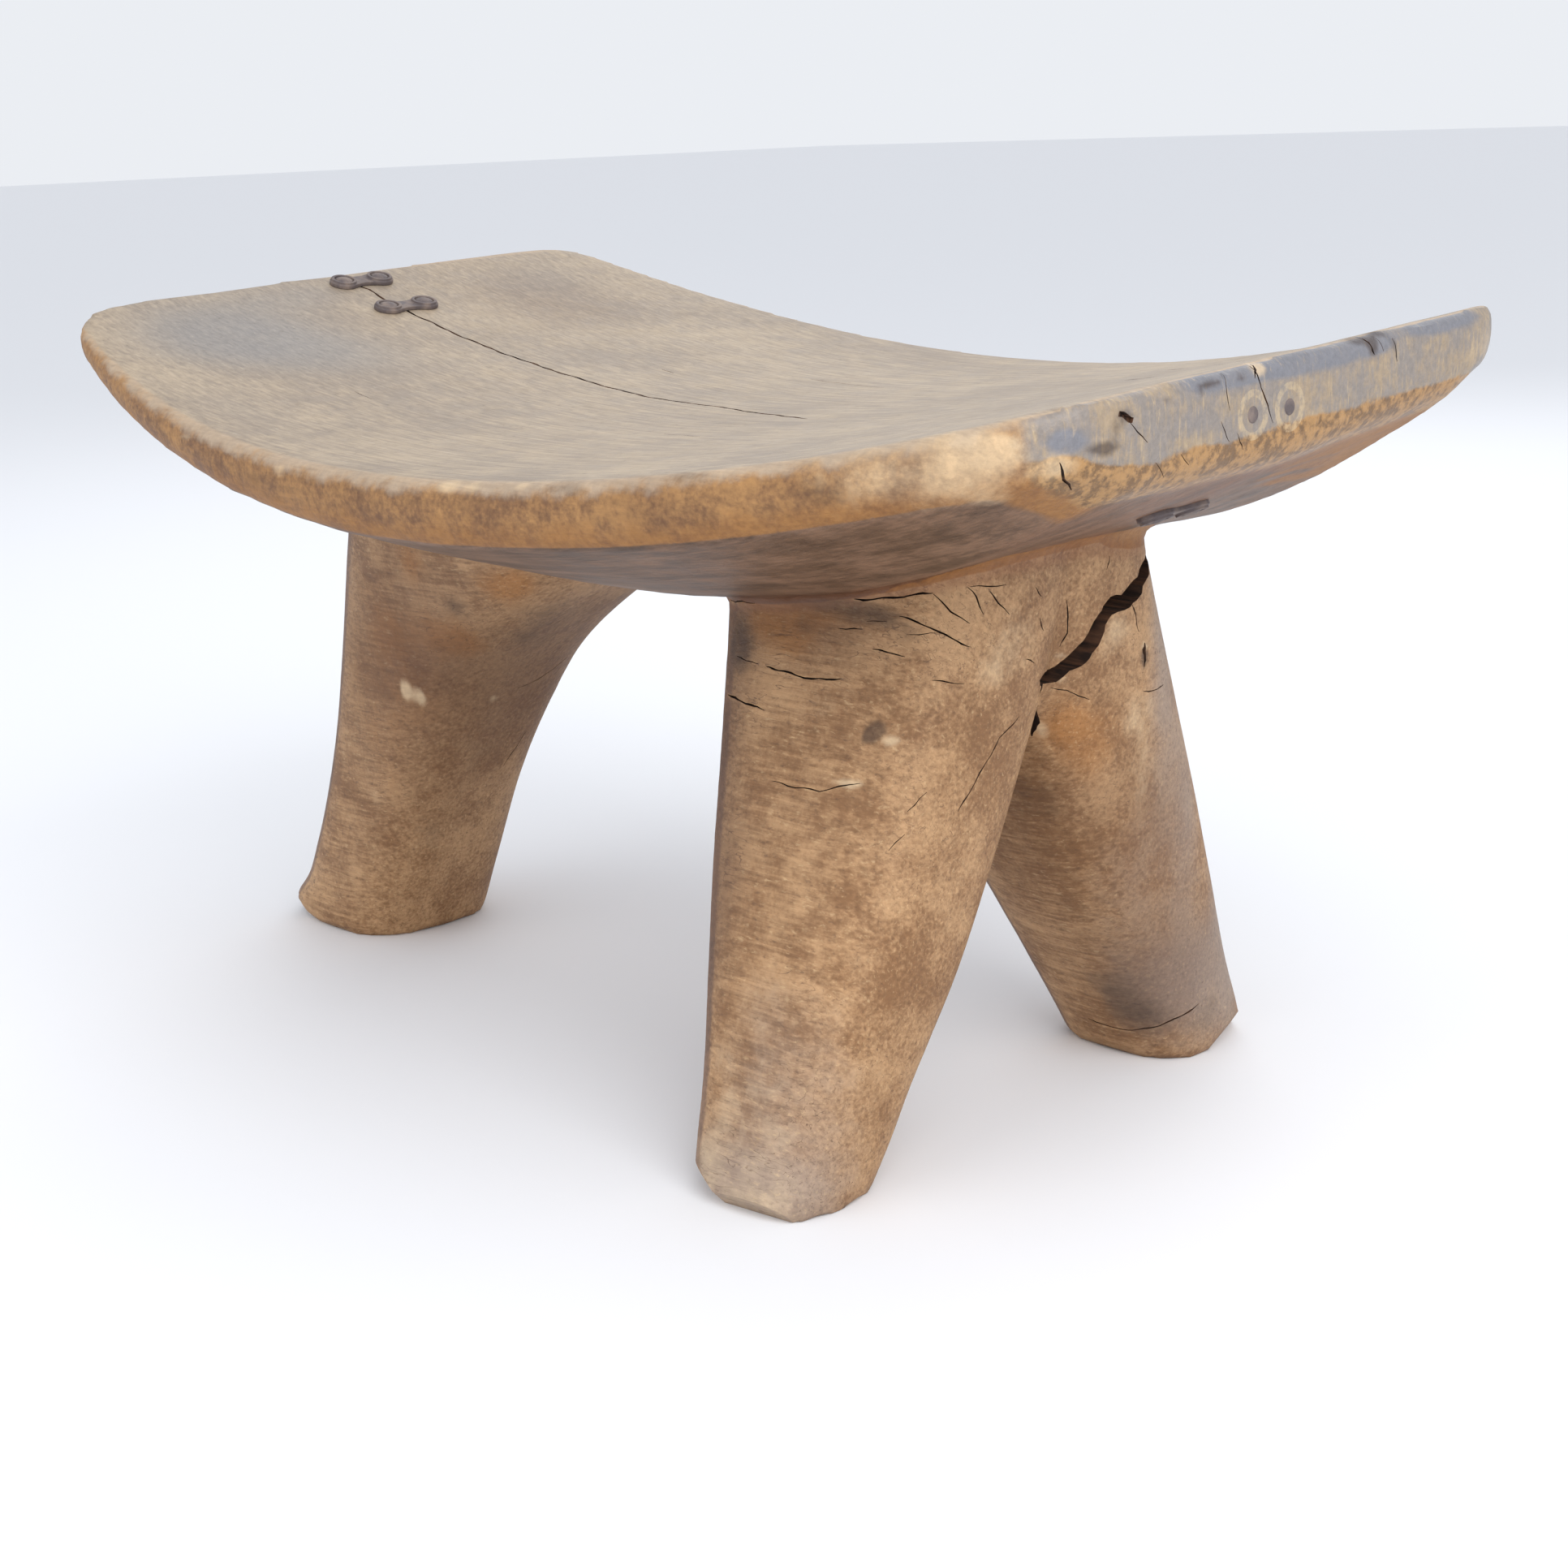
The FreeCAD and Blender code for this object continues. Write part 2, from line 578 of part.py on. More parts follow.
def on_seat(share, y, height, slope, turn):
    """A placement flat on the seat's top, or turned over on its underside, off the wood by the seat gap."""
    tilt = f"atan({slope})"
    lean = f"atan({LEAN_SLOPE} * cos({tilt}))"
    tilted = f"rotation(vector(0; 1; 0); -{tilt})"
    leaning = f"rotation(vector(1; 0; 0); {lean})"
    turned = f"rotation(vector(1; 0; 0); {turn})"
    z = f"({height} + {LEAN_SLOPE} * {y})"
    on_wood = placed(at_share(share), y, z, f"{tilted} * {leaning} * {turned}")
    return f"{on_wood} * {placed('0', '0', 'sizes.seat_gap')}"


underside_slope = (
    f"({top_slope(UNDERSIDE_PLATE_SHARE)} + 3 * (sizes.hull_depth - sizes.pair_end_thickness)"
    f" * {UNDERSIDE_PLATE_SHARE}^2 / {HALF})"
)
underside_height = f"({top_height(UNDERSIDE_PLATE_SHARE)} - {thickness(UNDERSIDE_PLATE_SHARE)})"
TOP_PLATES = {"outer": OUTER_PLATE_SHARE, "inner": INNER_PLATE_SHARE}
plates = [
    (name, share, "sizes.plate_off_middle", top_height(share), top_slope(share), "0")
    for name, share in TOP_PLATES.items()
]
plates.append(("underside", UNDERSIDE_PLATE_SHARE, "0", underside_height, underside_slope, "180"))
iron = []
for plate_name, share, y, height, slope, turn in plates:
    plate = link_plate(f"{plate_name}_link_plate", on_seat(share, y, height, slope, turn))
    iron.append(plate)
    for side, side_name in ((-1, "near"), (1, "far")):
        along = side if plate_name != "underside" else -side
        in_eye = placed("0", f"({along} * sizes.pin_spacing / 2)", "sizes.plate_thickness")
        nail_name = f"{plate_name}_plate_nail_{side_name}"
        nail = turned_piece(nail_name, NAIL_PROFILE, True, f"{plate.Name}.Placement * {in_eye}")
        iron.append(nail)
        cutters.append(hole(f"{nail_name}_hole", nail, "sizes.shank_radius", "sizes.nail_length", "0"))

# Two pins of a lost plate, flush with the end face over the paired legs.
for side, side_name in ((-1, "near"), (1, "far")):
    pin_y = f"({side} * sizes.pin_spacing / 2 - sizes.pin_off_middle)"
    pin_z = f"({top_height('1')} - sizes.pin_below_rim + {LEAN_SLOPE} * {pin_y})"
    outward = "rotation(vector(0; 1; 0); 90)"
    at_end_face = placed(at_share("1"), pin_y, pin_z, outward)
    pin = turned_piece(f"end_face_pin_{side_name}", PIN_PROFILE, False, at_end_face)
    iron.append(pin)
    cutters.append(hole(f"{pin.Name}_hole", pin, "sizes.pin_radius", "sizes.pin_length", "sizes.cut_over"))

removed = document.addObject("Part::MultiFuse", "removed_wood")
removed.Shapes = cutters
stool_body = document.addObject("Part::Cut", "stool_body")
stool_body.Base = log
stool_body.Tool = removed
document.recompute()

for item in document.Objects:
    if "Invalid" in item.State or "Error" in item.State:
        raise RuntimeError(f"{item.Name} could not be made: {item.State}")

os.makedirs("parts", exist_ok=True)
for piece in [stool_body, *iron]:
    shape = piece.Shape
    if shape.isNull() or not shape.isValid() or len(shape.Solids) != 1:
        raise RuntimeError(f"{piece.Label} is not one valid solid")
    shape.exportStep(f"parts/{piece.Label}.step")
    print(f"{piece.Label}: {shape.Volume / 1000:.3f} cm3")
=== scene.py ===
# %% [markdown]
# # A carved three-legged stool
# One low stool, cut from a single log: a long dished seat, one swept leg, and a splayed pair of legs.
# Small iron link plates are nailed across its old crack. The engineering model comes first, as a frame
# that fixes every size, and the Blender pieces are laid over it in the same place, in metres.

# %% Load the frame
import math

import bmesh
import bpy
import numpy as np
from mathutils import Matrix, Vector


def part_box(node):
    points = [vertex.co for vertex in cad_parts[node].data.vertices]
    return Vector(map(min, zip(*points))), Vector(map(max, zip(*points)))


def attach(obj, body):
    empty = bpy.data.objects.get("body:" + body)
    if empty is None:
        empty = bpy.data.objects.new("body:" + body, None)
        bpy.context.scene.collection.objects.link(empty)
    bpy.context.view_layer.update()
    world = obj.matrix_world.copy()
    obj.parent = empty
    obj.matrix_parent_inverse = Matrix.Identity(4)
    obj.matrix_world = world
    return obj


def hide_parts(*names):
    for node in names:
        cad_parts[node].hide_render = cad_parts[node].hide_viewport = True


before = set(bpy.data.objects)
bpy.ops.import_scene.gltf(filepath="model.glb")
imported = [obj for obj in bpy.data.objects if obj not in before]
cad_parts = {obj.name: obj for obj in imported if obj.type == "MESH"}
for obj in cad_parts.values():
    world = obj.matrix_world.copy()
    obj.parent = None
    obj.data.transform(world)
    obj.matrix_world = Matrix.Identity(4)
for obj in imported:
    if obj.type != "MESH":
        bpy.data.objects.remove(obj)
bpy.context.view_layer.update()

MM = 0.001
print("nodes of the frame:", len(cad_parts))

# %% [markdown]
# ## The camera
# The photograph looks slightly down on the stool from one corner, from about 700 mm away. A real camera
# is turned a little about its own line of sight when it is held in the hand, so the turn is kept too.
# The place and the focal length were worked out from the outline of the stool, so they are typed in.

# %% Camera
CAMERA_PLACE = (489.2, -438.8, 239.1)
CAMERA_AZIMUTH = 46.6
CAMERA_DOWN = 14.6
CAMERA_ROLL = -2.2
CAMERA_LENS = 57.76
CAMERA_SENSOR = 36


def camera_axes(azimuth, down, roll):
    """Right, up and back of a camera that looks from this azimuth, down by this angle."""
    across = math.radians(azimuth)
    drop = math.radians(down)
    turn = math.radians(roll)
    back = Vector((math.sin(across) * math.cos(drop), -math.cos(across) * math.cos(drop), math.sin(drop)))
    level = Vector((math.cos(across), math.sin(across), 0))
    raised = back.cross(level)
    right = math.cos(turn) * level + math.sin(turn) * raised
    return right, back.cross(right), back


camera_data = bpy.data.cameras.new("photo_camera")
camera_data.lens = CAMERA_LENS
camera_data.sensor_width = CAMERA_SENSOR
camera_data.clip_start = 0.01
camera = bpy.data.objects.new("photo_camera", camera_data)
bpy.context.collection.objects.link(camera)
right, up, back = camera_axes(CAMERA_AZIMUTH, CAMERA_DOWN, CAMERA_ROLL)
turned = Matrix((right, up, back)).transposed().to_4x4()
camera.matrix_world = Matrix.Translation(Vector(CAMERA_PLACE) * MM) @ turned
bpy.context.scene.camera = camera
print("camera looks along", tuple(round(-value, 3) for value in back))

# %% [markdown]
# ## Working by hand, in code
# The frame leaves its nodes selected, and an operator acts on everything that is selected. So each new
# piece starts by leaving edit mode and deselecting everything. A modifier is applied as soon as it is
# added, as a person would do before the next step, because that step needs the new points.

# %% Starting fresh, and applying a modifier


def start_fresh():
    """Leave edit mode and deselect everything."""
    if bpy.context.object and bpy.context.object.mode == "EDIT":
        bpy.ops.object.mode_set(mode="OBJECT")
    bpy.ops.object.select_all(action="DESELECT")


def take(piece):
    """Select one piece alone and make it the active one."""
    start_fresh()
    bpy.context.view_layer.objects.active = piece
    piece.select_set(True)


def finish_with(piece, kind, **settings):
    """Add a modifier with these settings and apply it."""
    modifier = piece.modifiers.new(kind.lower(), kind)
    for name, value in settings.items():
        setattr(modifier, name, value)
    take(piece)
    bpy.ops.object.modifier_apply(modifier=modifier.name)


def shade_smooth(piece, angle):
    """Shade a piece smooth, except over edges that are sharper than this many degrees."""
    take(piece)
    bpy.ops.object.shade_smooth_by_angle(angle=math.radians(angle))


# %% [markdown]
# ## The shape of the seat, as numbers
# The carver cut the seat as a shallow dish along the log: lowest just past the middle, high at the
# single-leg end. It leans a little to one side. The underside is a hull that thins towards both ends, and
# a band of about 15 mm runs round the edge. The solids have the same sizes and rules, because the seat has
# to lie in the same place. Only here the single-leg end is cut askew, the pair end is twisted a little,
# and the belly is fuller on its far side, as a carver's eye and hand left them.

# %% Sizes of the seat
SEAT_MIDDLE = 9
SEAT_HALF = 176
SEAT_HEIGHT = 167.5
LOWEST = 0.065
SINGLE_RISE = 33
PAIR_RISE = 19
SEAT_WIDTH = 234
SINGLE_WIDTH = 184
PAIR_WIDTH = 164
WIDEST = -0.10
LEAN_RISE = 5.3
HULL_DEPTH = 36
SINGLE_THICK = 12
PAIR_THICK = 18
RIM_HEIGHT = 14.5
RIM_END_SHARE = 0.75
RIM_UNDERCUT = 2
FLAT_SHARE = 0.45
FLAT_END_SHARE = 0.80
SINGLE_CORNERS = (20, 13)
PAIR_CORNERS = (24, 12)
SINGLE_END_SKEW = 0.047
SINGLE_SKEW_FROM = 60
PAIR_TWIST_RISE = 2.9
PAIR_TWIST_LEAN = 0.030
PAIR_TWIST_BELOW = 0.09
BELLY_DEPTH = 4.2
BELLY_MIDDLE = (133, 36)
BELLY_REACH = (46, 30)
print("seat:", 2 * SEAT_HALF, "mm long,", SEAT_WIDTH, "mm wide")

# %% Height and width along the seat


def share(x):
    """Where a place is along the seat, from -1 at the single-leg end to 1 at the pair end."""
    return (x - SEAT_MIDDLE) / SEAT_HALF


def top_height(x):
    """Height of the dished top on its middle line."""
    along = share(x)
    single_side = SINGLE_RISE * ((LOWEST - along) / (1 + LOWEST)) ** 2
    pair_side = PAIR_RISE * ((along - LOWEST) / (1 - LOWEST)) ** 2
    return SEAT_HEIGHT + np.where(along < LOWEST, single_side, pair_side)


def corner_loss(x, side):
    """How much a rounded corner takes off half the width; side is 0 for near and 1 for far."""
    to_single = np.clip(SINGLE_CORNERS[side] - (x - SEAT_MIDDLE + SEAT_HALF), 0, SINGLE_CORNERS[side])
    to_pair = np.clip(PAIR_CORNERS[side] - (SEAT_MIDDLE + SEAT_HALF - x), 0, PAIR_CORNERS[side])
    single_loss = SINGLE_CORNERS[side] - np.sqrt(SINGLE_CORNERS[side] ** 2 - to_single ** 2)
    pair_loss = PAIR_CORNERS[side] - np.sqrt(PAIR_CORNERS[side] ** 2 - to_pair ** 2)
    return single_loss + pair_loss


def half_width(x, side=0):
    """Half the width of the seat, on the near or the far side."""
    along = share(x)
    single_side = (SEAT_WIDTH - SINGLE_WIDTH) * ((WIDEST - along) / (1 + WIDEST)) ** 2
    pair_side = (SEAT_WIDTH - PAIR_WIDTH) * ((along - WIDEST) / (1 - WIDEST)) ** 2
    full = SEAT_WIDTH - np.where(along < WIDEST, single_side, pair_side)
    return full / 2 - corner_loss(x, side)


end_heights = [float(top_height(SEAT_MIDDLE + side * SEAT_HALF)) for side in (-1, 1)]
print("heights of the two ends:", end_heights, "mm")

# %% Skew, twist and thickness


def skewed(x, y):
    """Where a place of the square-ended seat goes, because the single-leg end is cut askew."""
    near_end = np.clip((-share(x) - 0.5) / 0.5, 0, 1)
    return x + SINGLE_END_SKEW * np.clip(SINGLE_SKEW_FROM - y, 0, None) * near_end ** 2


def twist(x):
    """How much of the twist of the pair end there is at a place along the seat."""
    return np.clip((share(x) - LOWEST) / (1 - LOWEST), 0, 1) ** 2


def surface(x, y):
    """Height of the top of the seat anywhere, with its lean and the twist of the pair end."""
    return top_height(x) + LEAN_RISE / SEAT_WIDTH * y + twist(x) * (PAIR_TWIST_RISE + PAIR_TWIST_LEAN * y)


def end_thickness(x):
    """Thickness of the seat at the end on this side of its middle."""
    return np.where(share(x) < 0, SINGLE_THICK, PAIR_THICK)


def thickness(x):
    """Thickness of the seat on its middle line."""
    return HULL_DEPTH - (HULL_DEPTH - end_thickness(x)) * np.abs(share(x)) ** 3


def rim(x):
    """Height of the band round the edge, which narrows sooner towards the single-leg end."""
    power = np.where(share(x) < 0, 1.2, 3)
    return RIM_HEIGHT + (RIM_END_SHARE * end_thickness(x) - RIM_HEIGHT) * np.abs(share(x)) ** power


def flat_share(x):
    """Part of the half width over which the underside is flat."""
    return FLAT_SHARE + (FLAT_END_SHARE - FLAT_SHARE) * np.abs(share(x)) ** 3


print("seat from", SEAT_MIDDLE - SEAT_HALF, "to", SEAT_MIDDLE + SEAT_HALF, "mm")

# %% [markdown]
# ## The seat
# A carver starts from the log and works along it. In Blender, one cross section is drawn at the
# single-leg end, and it is extruded along the log, station by station. At each station the section is
# made wider or narrower, raised or lowered, and its lower corners are moved for the depth of the hull.
# A cube cut by booleans would leave hard edges, and a lattice would not hold the band round the edge.

# %% Section of the seat
TOP_SHARES = (0, 0.25, 0.5, 0.75, 0.92)
HULL_LEVELS = (0.12, 0.3, 0.5, 0.7, 0.87, 1)
STATION_STEP = 8
END_INSETS = (0, 0.7, 2, 4, 7, 11, 15, 20)
EDGE_ROUND = 3.2
EDGE_CHAMFER = 0.28
LEAST_HULL = 1.5
END_ROUND = 3.6
HULL_BELLY = 1.1


def hull_out(level, x):
    """How far out the hull is, at a level from the band (0) to the flat underside (1)."""
    flat = flat_share(x)
    edge = 1 - (RIM_UNDERCUT + 1) / half_width(x)
    return flat + (edge - flat) * (1 - level ** HULL_BELLY)


def worn_off(x):
    """How much the worn edge of an end face takes off the top and the underside."""
    from_end = min(x - SEAT_MIDDLE + SEAT_HALF, SEAT_MIDDLE + SEAT_HALF - x)
    left = max(END_ROUND - from_end, 0)
    return END_ROUND - math.sqrt(END_ROUND ** 2 - left ** 2)


def half_section(x, side):
    """Half of the section at a station, as (out, down) from the middle of the top round to below."""
    lost = worn_off(x)
    wide = half_width(x, side) - lost
    tall = thickness(x) - lost
    band = min(rim(x), tall - LEAST_HULL)
    down = [(wide * out, lost) for out in TOP_SHARES]
    down.append((wide - EDGE_ROUND * 0.75, lost + 0.15))
    down.append((wide - EDGE_ROUND * EDGE_CHAMFER, lost + EDGE_ROUND * EDGE_CHAMFER))
    down.append((wide, lost + EDGE_ROUND * 0.9))
    down.append((wide + 0.2, (lost + band) * 0.55))
    down.append((wide - RIM_UNDERCUT * 0.45, band * 0.82))
    down.append((wide - RIM_UNDERCUT - 1, band + 0.6))
    down += [(wide * hull_out(level, x), band + (tall - band) * level) for level in HULL_LEVELS]
    down.append((0, tall + 0.3))
    return down


print("corners of half a section:", len(half_section(SEAT_MIDDLE, 0)))

# %% Sections in their places along the log


def hull_level(x, y):
    """Height that the hull is measured from: like the top, but with less twist and a fuller far side."""
    off_x = (x - BELLY_MIDDLE[0]) / BELLY_REACH[0]
    off_y = (y - BELLY_MIDDLE[1]) / BELLY_REACH[1]
    belly = BELLY_DEPTH * np.clip(1 - off_x ** 2, 0, None) * np.clip(1 - off_y ** 4, 0, None)
    twisted = twist(x) ** 2 * PAIR_TWIST_BELOW * np.clip(y, 0, None)
    return top_height(x) + LEAN_RISE / SEAT_WIDTH * y + twisted - belly


def laid(x, y, depth):
    """A place of the section, moved for the skew, the lean and the twist."""
    x = float(skewed(x, y))
    low = min(depth / float(thickness(x)), 1)
    height = (1 - low) * surface(x, y) + low * hull_level(x, y) - depth
    return Vector((x, y, height)) * MM


def whole_section(x):
    """The section all round, in order: the far side down, then the near side back up."""
    far_side = half_section(x, 1)
    near_side = [(-out, depth) for out, depth in half_section(x, 0)[1:-1]]
    return [laid(x, y, depth) for y, depth in far_side + near_side[::-1]]


seat_start = SEAT_MIDDLE - SEAT_HALF
seat_end = SEAT_MIDDLE + SEAT_HALF
stations = [seat_start + inset for inset in END_INSETS]
while stations[-1] < seat_end - END_INSETS[-1] - STATION_STEP:
    stations.append(stations[-1] + STATION_STEP)
stations += [seat_end - inset for inset in END_INSETS[::-1]]
print("stations along the seat:", len(stations))

# %% Extrude the seat along the log


def lay_ring(piece, places):
    """Move the corners of the ring that is selected, in the order they were made, to these places."""
    shape = bmesh.from_edit_mesh(piece.data)
    shape.verts.ensure_lookup_table()
    ring = [point for point in shape.verts if point.select]
    for point, place in zip(sorted(ring, key=lambda point: point.index), places):
        point.co = place
    bmesh.update_edit_mesh(piece.data)


def extrude_through(name, rings):
    """A closed solid: a filled ring that is extruded through all the other rings."""
    start_fresh()
    bpy.ops.mesh.primitive_circle_add(vertices=len(rings[0]), radius=10 * MM, fill_type="NGON")
    piece = bpy.context.object
    piece.name = name
    bpy.ops.object.mode_set(mode="EDIT")
    bpy.ops.mesh.select_all(action="SELECT")
    lay_ring(piece, rings[0])
    for ring in rings[1:]:
        bpy.ops.mesh.extrude_region_move(TRANSFORM_OT_translate={"value": (0, 0, 0)})
        lay_ring(piece, ring)
    bpy.ops.mesh.select_all(action="SELECT")
    bpy.ops.mesh.normals_make_consistent(inside=False)
    bpy.ops.object.mode_set(mode="OBJECT")
    return piece


seat = extrude_through("seat", [whole_section(x) for x in stations])
print("seat corners:", len(seat.data.vertices))

# %% [markdown]
# ## The legs
# The legs are not fitted into the seat: they are the part of the log that was left standing. The single
# leg sweeps out to a toe under the end of the seat, and the pair spreads sideways from one root. Each is
# extruded upwards from its sole through stations read off the photograph, as rounded rectangles, because
# an adze leaves flat faces with soft corners and a lathe-round leg would look wrong.

# %% Stations of the legs
LEG_CORNERS = 36
LEG_SQUARENESS = 2.8
LEG_STEP = 4
EVEN_FROM = 12
PAIR_ROOT = 148
SINGLE_ROOT = 164
PAIR_AXIS_Y = -3
SINGLE_AXIS_Y = -3.4
# height, middle along the log, middle out from the axis, half length, half width, all in mm
NEAR_FOOT = (
    (0, 95, 68.9, 19.1, 18.2),
    (1.4, 95, 68.3, 19.4, 18.5),
    (24, 94, 58.3, 23.5, 20.7),
)
FAR_FOOT = (
    (0, 95.9, 68.9, 21.7, 19.8),
    (1.4, 95.9, 68.3, 21.9, 19.9),
    (24, 94.2, 58.3, 25.1, 21.2),
)
PAIR_STATIONS = (
    (48, 92.8, 47.9, 28.2, 24.4),
    (72, 90.5, 38, 32.5, 26.5),
    (96, 88.4, 28.5, 36, 28),
    (120, 86.2, 19.5, 39.4, 29.1),
    (148, 83.8, 10.8, 42.5, 29.7),
)
SINGLE_STATIONS = (
    (0, -151.5, 0, 24.2, 24.3),
    (2, -153.6, 0, 26.9, 25.4),
    (6, -154.6, 0, 29.9, 26.3),
    (12, -149.8, 0, 28.1, 25.6),
    (24, -143.2, 0, 27.5, 25.4),
    (48, -131.6, 0, 27.9, 25.7),
    (72, -119.4, 0, 31.2, 27.3),
    (96, -105.3, 0, 38, 30),
    (120, -83.2, 0, 53.6, 34.1),
    (148, -48, 0, 81, 40),
)
print("stations of the legs:", len(NEAR_FOOT + PAIR_STATIONS), len(SINGLE_STATIONS))

# %% Legs through their stations


def smooth_between(heights, values, height):
    """A value at a height, on one smooth curve through the values of the stations."""
    slopes = np.gradient(values, heights)
    at = int(np.clip(np.searchsorted(heights, height) - 1, 0, len(heights) - 2))
    gap = heights[at + 1] - heights[at]
    part = (height - heights[at]) / gap
    start = (1 + 2 * part) * (1 - part) ** 2 * values[at] + part * (1 - part) ** 2 * gap * slopes[at]
    end = part ** 2 * (3 - 2 * part) * values[at + 1] - part ** 2 * (1 - part) * gap * slopes[at + 1]
    return start + end


def leg_ring(height, middle_x, middle_y, half_x, half_y):
    """A rounded rectangle round a leg."""
    ring = []
    for corner in range(LEG_CORNERS):
        angle = 2 * math.pi * corner / LEG_CORNERS
        out_x = math.copysign(abs(math.cos(angle)) ** (2 / LEG_SQUARENESS), math.cos(angle))
        out_y = math.copysign(abs(math.sin(angle)) ** (2 / LEG_SQUARENESS), math.sin(angle))
        ring.append(Vector((middle_x + half_x * out_x, middle_y + half_y * out_y, height)) * MM)
    return ring


def leg(name, table, axis_y, side, root):
    """A leg through its stations, then straight up to its root; side is -1 near, 0 middle, 1 far."""
    columns = [np.array(column, float) for column in zip(*table)]
    heights = list(columns[0][columns[0] < EVEN_FROM])
    heights += list(np.arange(EVEN_FROM, columns[0][-1], LEG_STEP))
    rings = []
    for height in heights:
        values = [smooth_between(columns[0], column, height) for column in columns[1:]]
        middle_x, out, half_x, half_y = values
        rings.append(leg_ring(height, middle_x, axis_y + side * out, half_x, half_y))
    rings.append(leg_ring(root, middle_x, axis_y + side * out, half_x, half_y))
    return extrude_through(name, rings)


near_leg = leg("near_leg", NEAR_FOOT + PAIR_STATIONS, PAIR_AXIS_Y, -1, PAIR_ROOT)
far_leg = leg("far_leg", FAR_FOOT + PAIR_STATIONS, PAIR_AXIS_Y, 1, PAIR_ROOT)
single_leg = leg("single_leg", SINGLE_STATIONS, SINGLE_AXIS_Y, 0, SINGLE_ROOT)
print("leg corners:", len(near_leg.data.vertices), len(single_leg.data.vertices))

# %% [markdown]
# ## One piece of wood
# The seat and the legs are joined, and a voxel remesh turns them into one skin, as the log always was.
# A plain boolean union would keep knife-sharp joins, while here a light smoothing afterwards leaves the
# small hollow that a gouge leaves where a leg meets the seat. The voxel is as fine as the limit of
# triangles for one piece allows.

# %% Join and remesh
VOXEL = 1.9
SMOOTH_ROUNDS = 3


def join(name, pieces):
    """Join pieces into the first one."""
    start_fresh()
    for piece in pieces:
        piece.select_set(True)
    bpy.context.view_layer.objects.active = pieces[0]
    bpy.ops.object.join()
    pieces[0].name = name
    return pieces[0]


wood = join("carved_wood", [seat, near_leg, far_leg, single_leg])
finish_with(wood, "REMESH", mode="VOXEL", voxel_size=VOXEL * MM, adaptivity=0)
finish_with(wood, "SMOOTH", factor=0.5, iterations=SMOOTH_ROUNDS)
print("skin of the log:", len(wood.data.polygons), "faces")

# %% [markdown]
# ## Marks of the tool and of wear
# An adze leaves shallow waves a few centimetres long, and two generations of hands and floors round them
# off. They are real hollows in the real stool, so they are moved into the mesh and are not only a bump in
# the finish. Two cloud textures do it: long waves and small ones. The waves fade out round the iron, because
# the plates and pins have to keep lying on the wood.

# %% Waves in the surface
IRON_PLACES = ((-153.3, 2), (-131.3, 2), (152, 0), (184, -9.8))
IRON_CLEAR = 11
IRON_FADE = 14
# name, length and height of the waves in mm
WAVES = (("long_waves", 34, 1), ("small_waves", 8, 0.24))
CALM_TOP = 0.62
CALM_LEGS = 0.78
WEIGHT_STEPS = 20


def points_of(piece):
    """Places of all points of a piece in millimetres."""
    flat = np.empty(len(piece.data.vertices) * 3)
    piece.data.vertices.foreach_get("co", flat)
    return flat.reshape(-1, 3) / MM


def ramp(values, low, high):
    """0 below low, 1 above high, smooth between; low may be the larger one."""
    part = np.clip((values - low) / (high - low), 0, 1)
    return part * part * (3 - 2 * part)


def away_from_iron(places):
    """0 at the plates and pins, 1 well away from them."""
    free = np.ones(len(places))
    for x, y in IRON_PLACES:
        gap = np.hypot(places[:, 0] - x, places[:, 1] - y)
        free = np.minimum(free, ramp(gap, IRON_CLEAR, IRON_CLEAR + IRON_FADE))
    return free


places = points_of(wood)
depth = surface(places[:, 0], places[:, 1]) - places[:, 2]
calm_top = 1 - CALM_TOP * ramp(depth, 3, 0.5)
above_floor = ramp(places[:, 2], 0.3, 5)
calm_legs = 1 - CALM_LEGS * ramp(depth, 34, 60)
strength = away_from_iron(places) * calm_top * calm_legs * above_floor
group = wood.vertex_groups.new(name="worn")
for level in range(1, WEIGHT_STEPS + 1):
    chosen = np.flatnonzero(np.round(strength * WEIGHT_STEPS) == level)
    group.add(chosen.tolist(), level / WEIGHT_STEPS, "REPLACE")
for name, size, height in WAVES:
    clouds = bpy.data.textures.new(name, "CLOUDS")
    clouds.noise_scale = size * MM
    clouds.noise_depth = 2
    finish_with(wood, "DISPLACE", texture=clouds, texture_coords="LOCAL", strength=height * MM,
                mid_level=0.5, vertex_group="worn")
moved = np.linalg.norm(points_of(wood) - places, axis=1)
print("waves move the wood by up to", round(float(moved.max()), 2), "mm")

# %% The wood lies just below the faces of the two pins
PINS = ("end_face_pin_near", "end_face_pin_far")
PIN_CLEAR = 3.6
PIN_FADE = 4
PIN_PROUD = 0.25
PIN_REACH = 4
places = points_of(wood)
for name in PINS:
    low, high = (np.array(corner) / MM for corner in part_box(name))
    middle = (low + high) / 2
    gap = np.hypot(places[:, 1] - middle[1], places[:, 2] - middle[2])
    near_pin = ramp(gap, PIN_CLEAR + PIN_FADE, PIN_CLEAR) * (places[:, 0] > middle[0] - PIN_REACH)
    too_far = np.maximum(places[:, 0] - (high[0] - PIN_PROUD), 0)
    places[:, 0] -= too_far * near_pin
    print(name, "from", low.round(2), "to", high.round(2))
wood.data.vertices.foreach_set("co", (places * MM).ravel())
wood.data.update()
